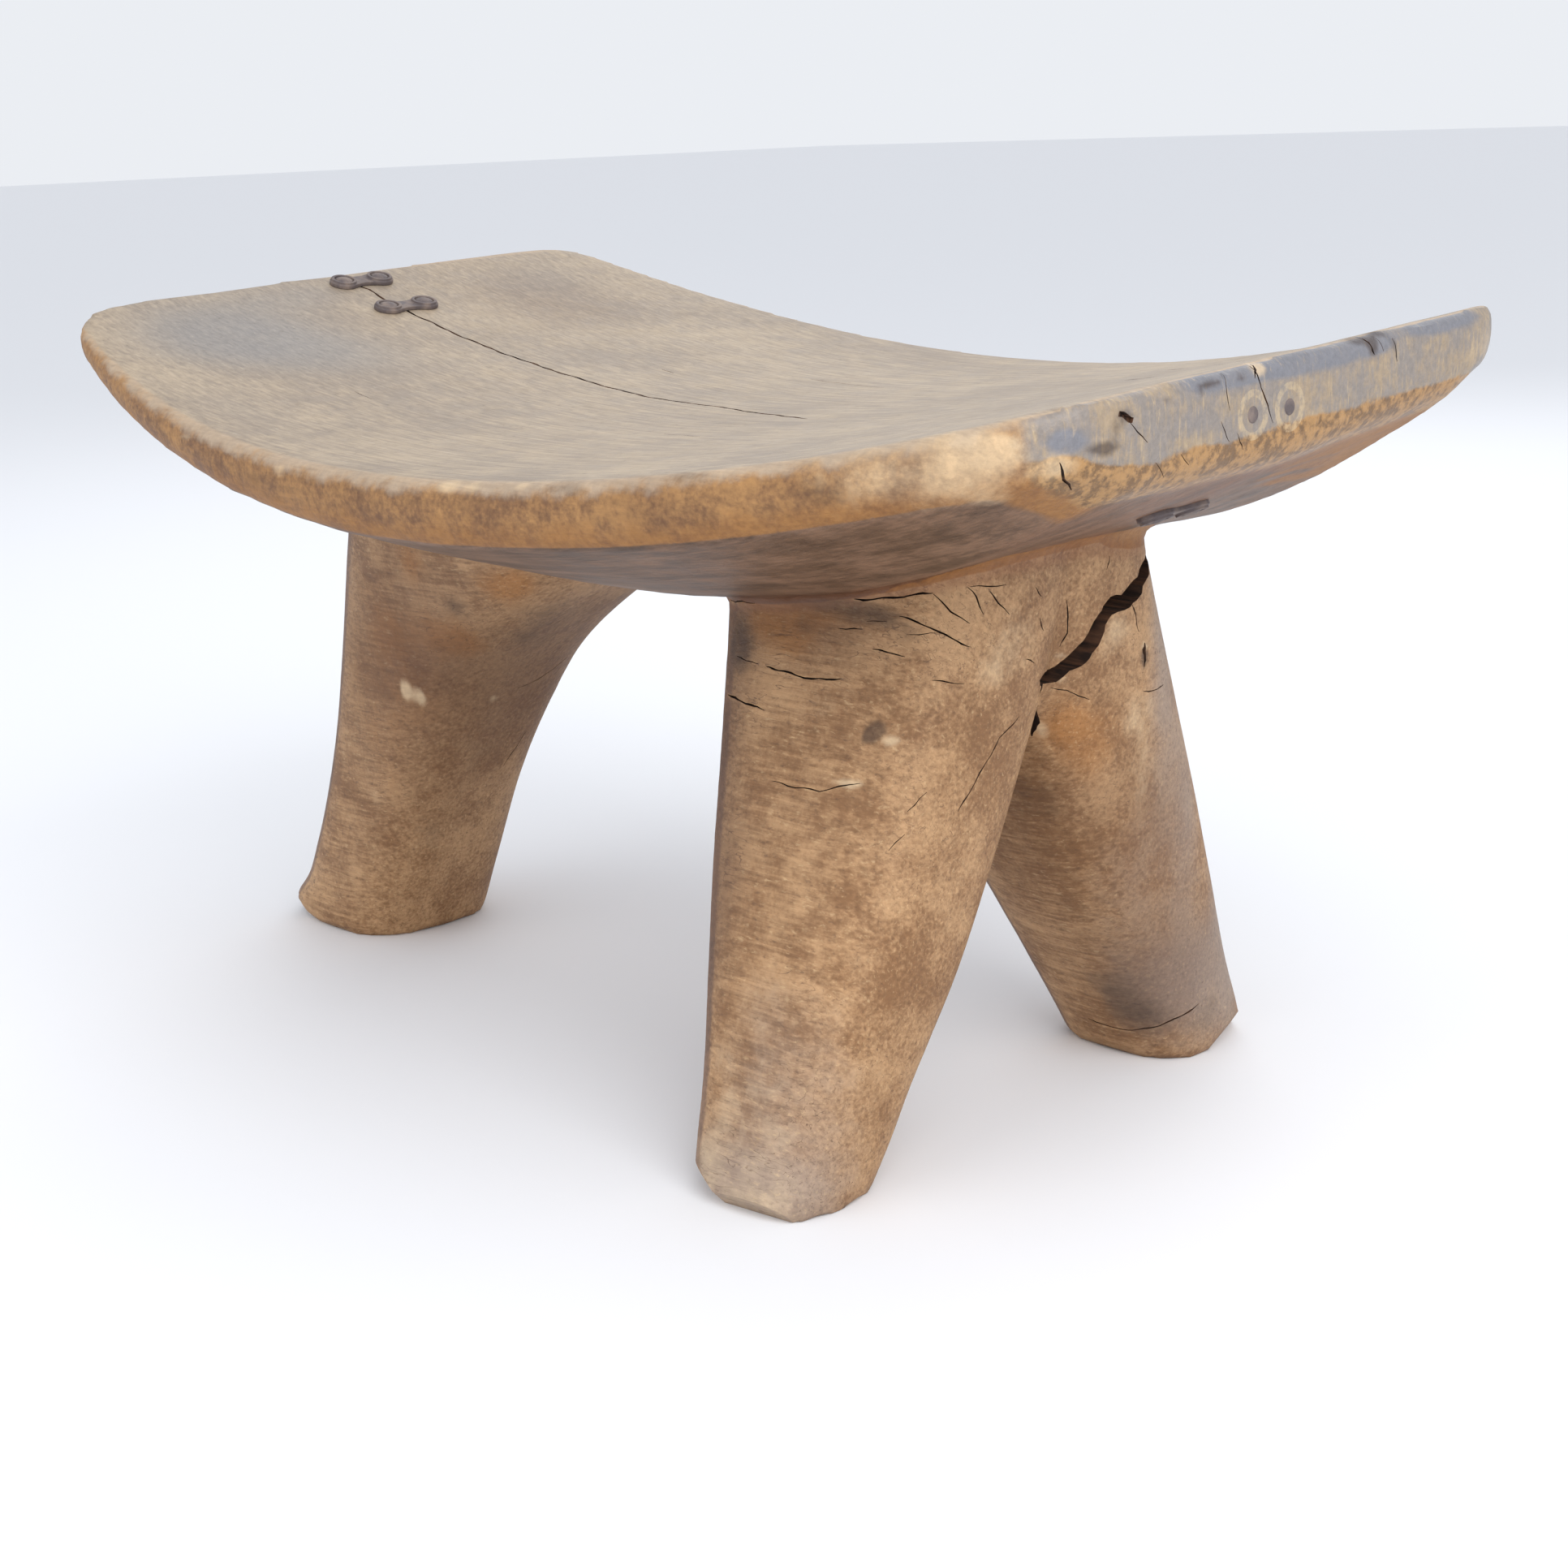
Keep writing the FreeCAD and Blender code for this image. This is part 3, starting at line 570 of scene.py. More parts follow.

# %% [markdown]
# ## Cracks and the broken place
# Wood that dries splits along its grain. The long crack runs along the seat under the plates, and the far
# leg has a break with ragged banks where it meets its neighbour. They are cut with thin wedges, so that
# they have real walls and a dark floor. A wedge is a ring of four corners extruded along the crack, thin at
# both ends. The walls get the second finish of the piece, raw wood that never saw a hand or an oily cloth,
# whose darkest tone is painted shade.

# %% A wedge for each crack
WEDGE_ABOVE = 3
WEDGE_FLOOR = 0.1
WEDGE_TIP = 0.2
WEDGE_STEP = 2.4
WEDGE_FULL = 0.85
WEDGE_SWELL = 0.25
SWELL_TURN = 2.1
WEDGE_JAG = 0.2
JAG_TURN = 4.7
LEAST_DEPTH = 0.35
UP = (0, 0, 1)
TO_PAIR_END = (1, 0, 0)
NEAR_FACE = (0.1, -0.95, 0.3)
NEAR_CORNER = (0.37, -0.9, 0.25)
FORK_CORNER = (0.75, -0.62, 0.2)
FORK_WALL = (0.9, -0.36, -0.23)


def in_short_steps(path):
    """A path with more corners, because a split follows the fibres and is never straight for long."""
    corners = [Vector(place) for place in path]
    finer = [corners[0]]
    for start, end in zip(corners, corners[1:]):
        steps = max(2, round((end - start).length / WEDGE_STEP))
        finer += [start.lerp(end, step / steps) for step in range(1, steps + 1)]
    return finer


def wedge(name, path, outward, width, depth, floor=WEDGE_FLOOR, tip=WEDGE_TIP):
    """A thin wedge along a crack: path in mm, the direction out of the wood, its width and its depth."""
    corners = in_short_steps(path)
    out = Vector(outward).normalized()
    rings = []
    for at, corner in enumerate(corners):
        along = corners[min(at + 1, len(corners) - 1)] - corners[max(at - 1, 0)]
        across = along.cross(out).normalized()
        ends = at in (0, len(corners) - 1)
        full = tip if ends else WEDGE_FULL + WEDGE_SWELL * math.sin(SWELL_TURN * at + corners[0].x)
        side = 0 if ends else WEDGE_JAG * math.sin(JAG_TURN * at + corners[0].z)
        corner = corner + across * side
        half = across * width * full / 2
        base = across * floor / 2
        above = corner + out * WEDGE_ABOVE
        below = corner - out * depth * (LEAST_DEPTH + (1 - LEAST_DEPTH) * min(full, 1))
        rings.append([place * MM for place in (above - half, above + half, below + base, below - base)])
    return extrude_through(name, rings)


print("a crack turns every", WEDGE_STEP, "mm")

# %% Cracks in the top


def on_top(path):
    """Give places on the seat their height."""
    return [(x, y, float(surface(x, y))) for x, y in path]


LONG_CRACK = (
    (-163, -2.4), (-159, -1.9), (-153, -0.6), (-148, 0.9), (-140, 0.3), (-134, 0.9), (-126, 0.2),
    (-117, 0.9), (-107, 0.4), (-95, 1.1), (-84, 0.7), (-72, 1.1), (-61, 0.2), (-51, 0.3), (-41, -0.7),
    (-30, -0.9), (-19, -1.8), (-6, -0.6), (7, 0.1), (20, -2.4), (34, -5.2), (48, -9.2),
)
EDGE_NOTCH = ((-169, -4.2), (-163.4, -2.6), (-160, -2.1))
TOP_MARK_DEPTH = 1.6
cutters = [wedge("long_crack", on_top(LONG_CRACK), UP, 1.2, 5.5, floor=0.4)]
cutters.append(wedge("edge_notch", on_top(EDGE_NOTCH), UP, 2.2, 5, tip=0.8))
# two places on the top and the width of the mark between them
MARKS_ON_TOP = (
    ((-47, 27.2), (-41, 26.4), 0.8), ((-9, 48), (20, 47), 0.5), ((99, 49.8), (110, 48), 1.9),
    ((93, 74.5), (101, 73), 1.7), ((104.2, 87.2), (107.7, 87.6), 1.4), ((110, 70), (127, 62), 0.9),
    ((-70, -60), (-61, -61), 0.4), ((30, -40), (44, -41), 0.4),
)
for number, (*path, width) in enumerate(MARKS_ON_TOP):
    cutters.append(wedge(f"top_mark_{number}", on_top(path), UP, width, TOP_MARK_DEPTH))
print("wedges in the top:", len(cutters))

# %% Cracks in the end face
END_CRACK_DEPTH = 2.6
# the path of each crack, then its width
END_CRACKS = (
    (((185, -15.9, 190), (185, -15.4, 186.6), (185, -13.4, 182.6), (185, -9.4, 175)), 0.8),
    (((185, -16.2, 188.6), (185, -14.2, 187), (185, -15.6, 184.6)), 1.8),
    (((185, -25.6, 188), (185, -25.2, 183), (185, -24.2, 179)), 0.4),
    (((185, -27.1, 177.2), (185, -26, 175), (185, -24.3, 172.8)), 0.45),
    (((185, -21.6, 174.2), (185, -20.4, 172.4), (185, -19.2, 170.6)), 0.5),
    (((185, -56.6, 180.6), (185, -53.6, 178.2), (185, -50.6, 175.6)), 0.5),
    (((183, 24.4, 189.6), (184.6, 25.8, 187.7), (185, 27, 185.6)), 1),
    (((184.6, 34.4, 188.4), (185, 35.2, 186), (185, 35.5, 183.4)), 0.6),
    (((185, 29, 189), (185, 30.5, 186)), 0.7),
    (((180.6, -72.1, 174), (180.3, -70.3, 170.6), (178.6, -67, 168)), 1),
    (((185, -47.7, 171.3), (184, -44, 168)), 0.6),
    (((185, -40.1, 172.1), (184.4, -37, 169.6)), 0.6),
)
for number, (path, width) in enumerate(END_CRACKS):
    cutters.append(wedge(f"end_crack_{number}", path, TO_PAIR_END, width, END_CRACK_DEPTH))
TORN_PLACE = ((185, -58.9, 182), (185, -56.9, 181.3), (185, -55, 180.4))
cutters.append(wedge("torn_place", TORN_PLACE, TO_PAIR_END, 1.9, 1.7, floor=1.1, tip=0.5))
print("wedges with those of the end face:", len(cutters))

# %% Cracks in the legs
LEG_CRACK_DEPTH = 2.4
# the path of each crack, the direction out of the wood, then its width
LEG_CRACKS = (
    (((100.1, -47.5, 135), (104.8, -46.3, 135.2), (109.4, -44.6, 135.9), (113.5, -42.4, 136.6),
      (117.2, -39.9, 137)), (0.45, -0.85, 0.1), 1),
    (((56.7, -45, 129.5), (64.4, -48.2, 130.6), (68.6, -48.3, 130.7)), (-0.14, -0.88, -0.3), 0.8),
    (((122.5, -33.7, 138), (124.1, -30.1, 137.8), (125.3, -24.8, 137.5)), (0.9, -0.4, 0), 0.5),
    (((75.6, -51.8, 117.3), (84.3, -52.4, 116.8), (91, -52.5, 116.4), (99.8, -51.8, 117.6)), NEAR_FACE, 0.9),
    (((60.7, -50.5, 108.3), (70.4, -53.8, 108.3), (77.8, -54.9, 107.8)), (-0.22, -0.95, 0.23), 0.9),
    (((62.9, -49.4, 117.7), (72.6, -51.5, 117.4)), (-0.15, -0.97, 0.19), 0.45),
    (((96.3, -49, 128.2), (103.2, -48.3, 128.7)), NEAR_FACE, 0.8),
    (((104.1, -47.6, 130.5), (108.8, -46.2, 130.8)), NEAR_CORNER, 0.6),
    (((106.6, -48.6, 124.6), (110.4, -47.4, 124.3), (114, -46, 123.4)), NEAR_CORNER, 0.8),
    (((111.4, -44.8, 132), (116.7, -42.1, 130.2), (120.3, -39.5, 127.8), (123.5, -35.1, 124.9)),
     FORK_CORNER, 0.8),
    (((117.3, -39.9, 136.8), (120.5, -37.7, 133), (123, -34.5, 130)), FORK_CORNER, 0.7),
    (((113.7, -44.7, 128.1), (119.6, -40.1, 128.4)), FORK_CORNER, 0.4),
    (((119.4, -43.3, 118.3), (123.4, -37.2, 117)), FORK_CORNER, 0.5),
    (((122.2, -34.2, 138), (123.3, -32.5, 135.7), (124.1, -31.2, 131.6)), (0.92, -0.39, 0.07), 0.7),
    (((124.3, -29.4, 136.6), (125, -27.2, 133.8), (125.5, -24.1, 130.6)), (0.97, -0.23, 0.02), 0.7),
    (((124.9, -20.3, 106.5), (124.8, -27.2, 102.7), (124.5, -31.6, 97.9), (123.6, -40.4, 88.4)),
     TO_PAIR_END, 0.8),
    (((85, -60.2, 93.3), (92.6, -60.4, 93.1), (99.9, -59.9, 93.4), (109.7, -56.8, 96.1)), NEAR_FACE, 0.55),
    (((119.5, -52.2, 90.3), (121.3, -47.8, 94.1)), FORK_CORNER, 0.4),
    (((117.7, -56.7, 82), (119.7, -53.4, 85.4)), FORK_CORNER, 0.4),
    (((118.2, -1.4, 108.6), (120.3, 1.7, 107.6), (121.7, 4.5, 106.3), (122.6, 7.1, 105)), FORK_WALL, 0.6),
    (((125.5, 19, 126.2), (125.3, 20.7, 123.2), (125.4, 21.9, 119.1)), TO_PAIR_END, 0.8),
    (((123.6, -2.2, 130.3), (123.2, -1, 126.1), (122.4, -0.9, 122.2), (121.2, -2, 119)), FORK_WALL, 0.8),
    (((125.6, -14, 128.3), (125.3, -12.3, 125)), TO_PAIR_END, 1),
    (((125.7, -15.4, 135.5), (125.6, -13.3, 133)), TO_PAIR_END, 0.7),
    (((125.7, 10.7, 138.7), (125.7, 9.6, 135.7)), TO_PAIR_END, 0.7),
    (((125, 24.4, 104.1), (124.7, 30.4, 103.4), (124.2, 33.3, 104.1)), TO_PAIR_END, 0.6),
    (((125.5, -18.5, 119.5), (125.1, -15.3, 118)), TO_PAIR_END, 0.6),
    (((93, 41.6, 9.2), (100.6, 41.7, 8.2), (108, 42.5, 9), (115, 46.4, 12), (118.6, 54.6, 15.6)),
     (0.45, -0.85, -0.2), 0.8),
    (((125.2, 24.4, 116), (125.2, 24.6, 113), (125.2, 24.5, 110)), TO_PAIR_END, 3.2),
    (((122.9, -10.4, 112), (118.4, -6, 107), (113.1, -1.3, 101.7), (110.3, 0.5, 95.7)),
     (0.75, -0.5, -0.4), 3.6),
    (((-75.4, 10.9, 88.8), (-77.1, 6.9, 85.9), (-78.9, 2.1, 83.2), (-79.9, -4.7, 81.8)),
     (0.7, 0.13, -0.7), 1),
    (((-93.8, 8, 65.2), (-97.2, 5.5, 59.7), (-100.2, 2.9, 54)), (0.84, 0.13, -0.53), 0.8),
)
for number, (path, outward, width) in enumerate(LEG_CRACKS):
    cutters.append(wedge(f"leg_crack_{number}", path, outward, width, LEG_CRACK_DEPTH))
print("wedges in all:", len(cutters))

# %% [markdown]
# ## The break in the far leg
# This is the one wide opening: the wood tore, so its two banks fit each other and are ragged. It is cut with
# one solid whose outline is the two banks, and it narrows inwards, because the tear closes in the heart of
# the wood.

# %% The break
# across and up, from the outer side of the leg inwards
UPPER_BANK = (
    (33, 138.4), (28.3, 136), (24.9, 135), (22.9, 133.8), (21.8, 132.2), (20, 131.8), (18.2, 130.9),
    (16.5, 129.9), (14.9, 129), (13.1, 129.4), (11, 129.2), (9.9, 128.4), (8.6, 127.4), (8.1, 126.4),
    (7, 125.6), (5.8, 124.2), (5, 122.8), (4.3, 121.4), (3.3, 119.9), (2.2, 118.9), (1.3, 117.8),
    (0.4, 116.7), (-0.4, 115.8), (-1.1, 115.1), (-1.9, 114.2), (-3.5, 113.8), (-8.9, 114.5),
    (-10.9, 114), (-12.1, 113.3),
)
LOWER_BANK = (
    (33, 134.2), (30.2, 133.2), (29.7, 131.4), (26.3, 130.5), (24.2, 129.5), (23.7, 127.9), (21.1, 126.6),
    (19.7, 126.3), (18.7, 125.5), (16.4, 125.1), (13.9, 125.1), (11.7, 124.7), (10.7, 123.9),
    (9.6, 122.7), (9.4, 121.2), (8.6, 119.6), (8, 118.3), (7.2, 117.4), (6.2, 116.4), (5.7, 115.3),
    (4.7, 114.2), (3.9, 113.6), (2.6, 113.1), (1.4, 112.7), (0.8, 111.7), (0.2, 110.8), (-0.5, 110),
    (-3.1, 109.9), (-11.2, 111.7),
)
# each place along the log, and how far the banks have come together there
BREAK_DEPTHS = ((140, 0), (119, 0.04), (110, 0.22), (101, 0.62), (97, 0.9))


def break_ring(x, closed):
    """The two banks at one depth; closed is how far they have come together."""
    ring = [(y, z) for y, z in UPPER_BANK] + [(y, z) for y, z in LOWER_BANK[::-1]]
    partner = [(y, z) for y, z in LOWER_BANK] + [(y, z) for y, z in UPPER_BANK[::-1]]
    half = closed / 2
    mixed = [(y + (v - y) * half, z + (w - z) * half) for (y, z), (v, w) in zip(ring, partner)]
    return [Vector((x, y, z)) * MM for y, z in mixed]


cutters.append(extrude_through("break", [break_ring(x, closed) for x, closed in BREAK_DEPTHS]))
print("corners of the break:", len(cutters[-1].data.vertices))

# %% Cutting


def cut(piece, name, tools):
    """Cut tools out of a piece; the cut walls take the finish of the tools."""
    tool = join(name, tools) if len(tools) > 1 else tools[0]
    finish_with(piece, "BOOLEAN", operation="DIFFERENCE", object=tool, solver="EXACT",
                material_mode="TRANSFER")
    bpy.data.objects.remove(tool)


def boxes_meet(piece, other):
    """Whether the boxes round two pieces overlap."""
    ours = points_of(piece)
    theirs = points_of(other)
    return bool(np.all(ours.min(0) < theirs.max(0)) and np.all(theirs.min(0) < ours.max(0)))


def sort_apart(pieces):
    """Groups of pieces that don't touch within a group, because one cut fails where its tools cross."""
    groups = []
    for piece in pieces:
        free = [group for group in groups if not any(boxes_meet(piece, other) for other in group)]
        if free:
            free[0].append(piece)
        else:
            groups.append([piece])
    return groups


# %% Chips off the feet, then all the cuts
# a place on the flat that a chip left, and the direction out of the wood
CHIPS = (
    ((82, -83, 3.5), (-0.45, -0.62, -0.64)),
    ((100, -86, 1.5), (0.1, -0.75, -0.65)),
    ((-171, 0, 2.4), (-0.19, -0.04, -0.98)),
    ((116, 73, 6), (0.78, 0.3, -0.55)),
)
CHIP_BOX = 50
WOOD_SMOOTH_ANGLE = 38


def chip_box(number, place, outward):
    """A block whose one face is the flat of a chip off a foot."""
    start_fresh()
    bpy.ops.mesh.primitive_cube_add(size=CHIP_BOX * MM)
    block = bpy.context.object
    block.name = f"chip_{number}"
    normal = Vector(outward).normalized()
    turn = Vector((0, 0, 1)).rotation_difference(normal).to_matrix().to_4x4()
    middle = Vector(place) * MM + normal * CHIP_BOX * MM / 2
    block.data.transform(Matrix.Translation(middle) @ turn)
    return block


worn_wood = bpy.data.materials.new("adzed_hardwood")
raw_wood_and_crack_shade = bpy.data.materials.new("split_heartwood_and_crack_shade")
wood.data.materials.append(worn_wood)
for number, (place, outward) in enumerate(CHIPS):
    block = chip_box(number, place, outward)
    block.data.materials.append(worn_wood)
    cut(wood, block.name, [block])
for piece in cutters:
    piece.data.materials.append(raw_wood_and_crack_shade)
for number, group in enumerate(sort_apart(cutters)):
    cut(wood, f"cracks_{number}", group)
raw_faces = sum(face.material_index == 1 for face in wood.data.polygons)
print("faces:", len(wood.data.polygons), "of them raw:", raw_faces, "finishes:", len(wood.data.materials))

shade_smooth(wood, WOOD_SMOOTH_ANGLE)

# %% [markdown]
# ## Where the wood looks different
# The top, the band, the underside, the end and the legs have aged differently: the top is bleached and
# scratched, the band is rubbed to a warm ochre, the underside is dark from smoke and hands. What each point
# of the mesh belongs to is worked out once, from its place and its normal, and kept as attributes. The
# finish then mixes its colours by them. A painted texture could do the same, but it would need an image.

# %% Attributes from place and normal


def normals_of(piece):
    """Normals of all points of a piece."""
    flat = np.empty(len(piece.data.vertices) * 3)
    piece.data.vertices.foreach_get("normal", flat)
    return flat.reshape(-1, 3)


def keep(piece, name, values):
    """Store one value for each point as an attribute."""
    layer = piece.data.attributes.new(name, "FLOAT", "POINT")
    layer.data.foreach_set("value", np.asarray(values, float))


def spots(places, table):
    """Soft spots: each row is a place in mm, its radius along, across and up, and its strength."""
    total = np.zeros(len(places))
    for x, y, z, along, across, high, strong in table:
        off = (places - (x, y, z)) / (along, across, high)
        total += strong * np.exp(-np.sum(off ** 2, axis=1))
    return np.clip(total, 0, 1)


places = points_of(wood)
normals = normals_of(wood)
print("points to mark:", len(places))

# %% Parts of the wood, each from 0 to 1
x, y, z = places.T
turned_x, _, turned_z = normals.T
depth = surface(x, y) - z
outline = np.where(y > 0, half_width(x, 1), half_width(x, 0))
inside = np.minimum(outline - np.abs(y), np.minimum(x - seat_start - 2, seat_end - x))
under_seat = hull_level(x, y) - thickness(x) - z
leg_part = ramp(under_seat, 0.8, 3.6) * ramp(np.abs(y) / outline, 0.99, 0.9)
top_part = ramp(turned_z, 0.35, 0.85) * ramp(inside, 0.5, 6.5) * ramp(depth, 5, 2)
under_part = ramp(depth, rim(x) - 1, rim(x) + 1.2) * ramp(turned_z, 0.05, -0.25) * (1 - leg_part)
under_part *= 1 - ramp(turned_x, 0.3, 0.6)
end_part = ramp(x, 171, 183) * ramp(turned_x, 0.08, 0.4) * (1 - leg_part)
# the ochre foot of the end face starts 15 mm down, and higher near the corner
foot_start = 15 - 6 * ramp(y, -52, -78)
foot_part = ramp(depth, foot_start - 1.5, foot_start + 1.5)
# the flanks are the sides of the legs that face the single-leg end, away from the light; the darker colour
# laid on them is painted shade
shaded_flank_part = ramp(turned_x, -0.3, -0.44) * (1 - 0.45 * ramp(turned_x, -0.7, -0.97)) * leg_part
# the joint is the line where a leg meets the underside
joint = np.exp(-((under_seat - 2.5) / 3) ** 2) * ramp(turned_z, 0.35, -0.1)
joint *= ramp(np.abs(y) / outline, 0.95, 0.7) * ramp(depth, 18, 24)
for name, values in (
    ("top", top_part), ("under", under_part), ("leg", leg_part), ("end", end_part), ("foot", foot_part),
    ("flank_painted_shade", shaded_flank_part), ("joint", joint), ("down", np.clip(depth / rim(x), 0, 2)),
):
    keep(wood, name, values)
print("points of the top:", int((top_part > 0.5).sum()), "of the legs:", int((leg_part > 0.5).sum()))

# %% Dark places: stains, soot and painted shade
# x, y, z of the middle, then how far it reaches along, across and up, then how strong it is
# stains, dark cracks and painted shade: the spots just below the fork of the pair and on the left side of
# the near leg are painted shade; others darken the top of the near leg under the seat, the single leg and
# the far leg low down; the rest are stains on the end face, the band and the top
SHADE_AND_STAIN_SPOTS = (
    (62, -48, 122, 6, 5, 10, 0.7), (67, -50, 119, 6, 4, 6, 0.5), (86, -49.5, 127, 5, 4, 2.4, 0.5),
    (108, -46, 131.5, 10, 5, 3, 0.65), (116, -44, 127, 8, 6, 3, 0.35), (92, -48, 133, 16, 8, 4, 0.5),
    (111, -52.4, 107.8, 2.8, 2.8, 2.3, 1), (109.4, -53.5, 106, 2, 2, 1.3, 0.9),
    (72, -63, 66, 7, 8, 14, 0.35),
    (79, -66, 54, 7, 6, 6, 0.35), (104, 4, 82, 14, 14, 11, 0.3), (108, 8, 74, 14, 14, 10, 0.28),
    (112, 26, 72, 10, 10, 9, 0.25), (111, 40, 12, 12, 9, 9, 0.65), (104, 38, 26, 12, 8, 9, 0.55),
    (120, 58, 10, 8, 12, 8, 0.45), (118, 50, 30, 6, 8, 8, 0.35), (-68, -34, 113, 7, 6, 5, 0.5),
    (-54, -14, 105, 20, 16, 14, 0.3), (-66, -14, 97, 18, 16, 14, 0.26), (-92, -30, 87, 10, 8, 9, 0.3),
    (-40, -16, 114, 20, 14, 12, 0.3), (-96, -8, 60, 14, 14, 34, 0.32), (-128, -24, 8, 18, 10, 8, 0.3),
    (-110, -20, 34, 8, 12, 14, 0.4), (125, 24.4, 112.5, 3, 2.2, 3.4, 0.9),
    (183.5, -63, 175.6, 4, 4.6, 1.7, 1), (184.7, -56.8, 181.5, 3, 2.6, 2, 0.7),
    (185, -59.5, 179, 3, 2, 2, 0.5),
    (184.8, -44.4, 182.8, 3, 2.6, 1.7, 0.6), (184.6, -33.4, 183.9, 2, 1.6, 1.6, 0.7),
    (184.5, -31, 184.8, 2, 2, 1.1, 0.7), (184.5, -28, 185.1, 2, 2, 1, 0.6),
    (184.7, -20.2, 185.1, 2, 2, 1.6, 0.6),
    (183.5, 22, 189.2, 4, 4, 1.5, 0.9), (184.6, 26.5, 187.4, 3, 2, 2.6, 0.85),
    (184.8, 34.5, 187, 3, 1.7, 3, 0.6),
    (183, 31, 190, 3, 3, 1.6, 0.6), (50, -113, 162, 16, 8, 4, 0.35), (78, -110, 166, 9, 8, 3, 0.6),
    (20, -116, 158, 10, 6, 3.4, 0.4), (108, -104, 170, 9, 10, 4, 0.5), (-30, -117, 160, 12, 6, 4, 0.35),
    (-80, -112, 172, 14, 6, 4, 0.35), (140, -96, 168, 10, 10, 4, 0.5), (-146, 2, 193.6, 10, 9, 5, 0.25),
)
# soot and painted shade: the spots on the left side of the near leg and in the fork of the pair are painted
# shade; the others darken the single leg, the top of the near leg under the seat, the far leg and a few
# places of the band and the top
SOOT_AND_PAINTED_SHADE = (
    (-95, -20, 90, 60, 40, 60, 0.54), (-86, -32, 96, 26, 14, 16, 0.25), (-82, 4, 84, 20, 20, 36, 0.28),
    (-60, 4, 110, 24, 24, 24, 0.3), (88, -46, 131, 26, 12, 10, 0.55), (112, 46, 26, 18, 22, 24, 0.5),
    (118, 24, 80, 10, 12, 16, 0.3),
    (98, -106, 165, 16, 8, 8, 0.36), (-21, -117, 161, 30, 8, 8, 0.24),
    (104, 6, 78, 16, 18, 18, 0.2), (122, 32, 60, 16, 20, 36, 0.36), (64, -56, 98, 9, 14, 36, 0.6),
    (77, -65, 76, 10, 10, 20, 0.26),
    (74, -68, 56, 9, 14, 30, 0.5), (92, -50, 120, 30, 10, 12, 0.25),
    (-125, 50, 188, 46, 36, 20, 0.36),
)
print("dark places:", len(SHADE_AND_STAIN_SPOTS) + len(SOOT_AND_PAINTED_SHADE))

# %% Pale, grey and ochre places, and painted sheen
PALE_SPOTS = (
    (125.5, -23, 121, 8, 8, 8, 0.32), (125, -30, 120, 8, 8, 8, 0.3), (125.5, -20, 129, 5, 6, 5, 0.3),
    (95, -54, 111, 10, 5, 6, 0.35), (118, -44, 76, 9, 9, 26, 0.3), (108, -62, 46, 12, 9, 26, 0.3),
    (114.4, -51.5, 105.6, 2.6, 1.8, 1.2, 0.9), (100, -84, 3, 14, 6, 5, 0.5), (88, -80, 9, 8, 6, 7, 0.45),
    (125, 12, 116, 6, 6, 8, 0.35), (125, 15, 121, 6, 5, 4, 0.4), (124, 22, 98, 6, 7, 8, 0.45),
    (125, 28, 84, 6, 8, 12, 0.35), (124, 30, 60, 6, 7, 12, 0.3), (125.2, 24.6, 115.2, 2.4, 1.3, 1.6, 1),
    (113, 1, 98, 2, 2, 3, 0.7), (119.4, 1, 110.4, 2, 2, 1.4, 0.7), (121.4, -1.8, 116.4, 2, 2.2, 1.2, 0.8),
    (-99, -31, 84.1, 2.2, 2.6, 3.6, 1), (-94.6, -29.4, 82.5, 1.8, 2, 3.2, 0.95),
    (-82, -12, 79.8, 2, 2, 2, 0.6),
    (-122, -30, 40, 9, 8, 26, 0.3), (-170, -16, 6, 8, 9, 5, 0.45), (107, -57.6, 95.8, 4, 3, 1.1, 0.9),
    (-20, -116.5, 163.5, 4, 4, 1.5, 0.8), (42, -113, 164, 4, 4, 1.6, 0.8),
    (50, -112.5, 164.6, 3, 4, 1.8, 0.7),
    (64, -111, 165.5, 3, 4, 1.3, 0.7), (118, -101, 172.8, 5, 5, 1.6, 0.8), (-66, -113, 168, 4, 4, 1.4, 0.7),
    (174, -82, 177, 6, 6, 3.4, 0.5), (168, -86, 178, 8, 7, 4, 0.4), (181, -73, 173, 4, 5, 2.4, 0.6),
    (152, -93, 172, 22, 14, 8, 0.44), (172, -83, 171, 16, 12, 7, 0.42), (98, -84, 22, 24, 16, 26, 0.36),
    (184, -13.5, 186.6, 3, 2.6, 2, 1), (182, 74, 184, 8, 12, 6, 0.5), (-166, -84, 190, 14, 18, 8, 0.55),
    (-150, -98, 186, 16, 12, 8, 0.4),
)
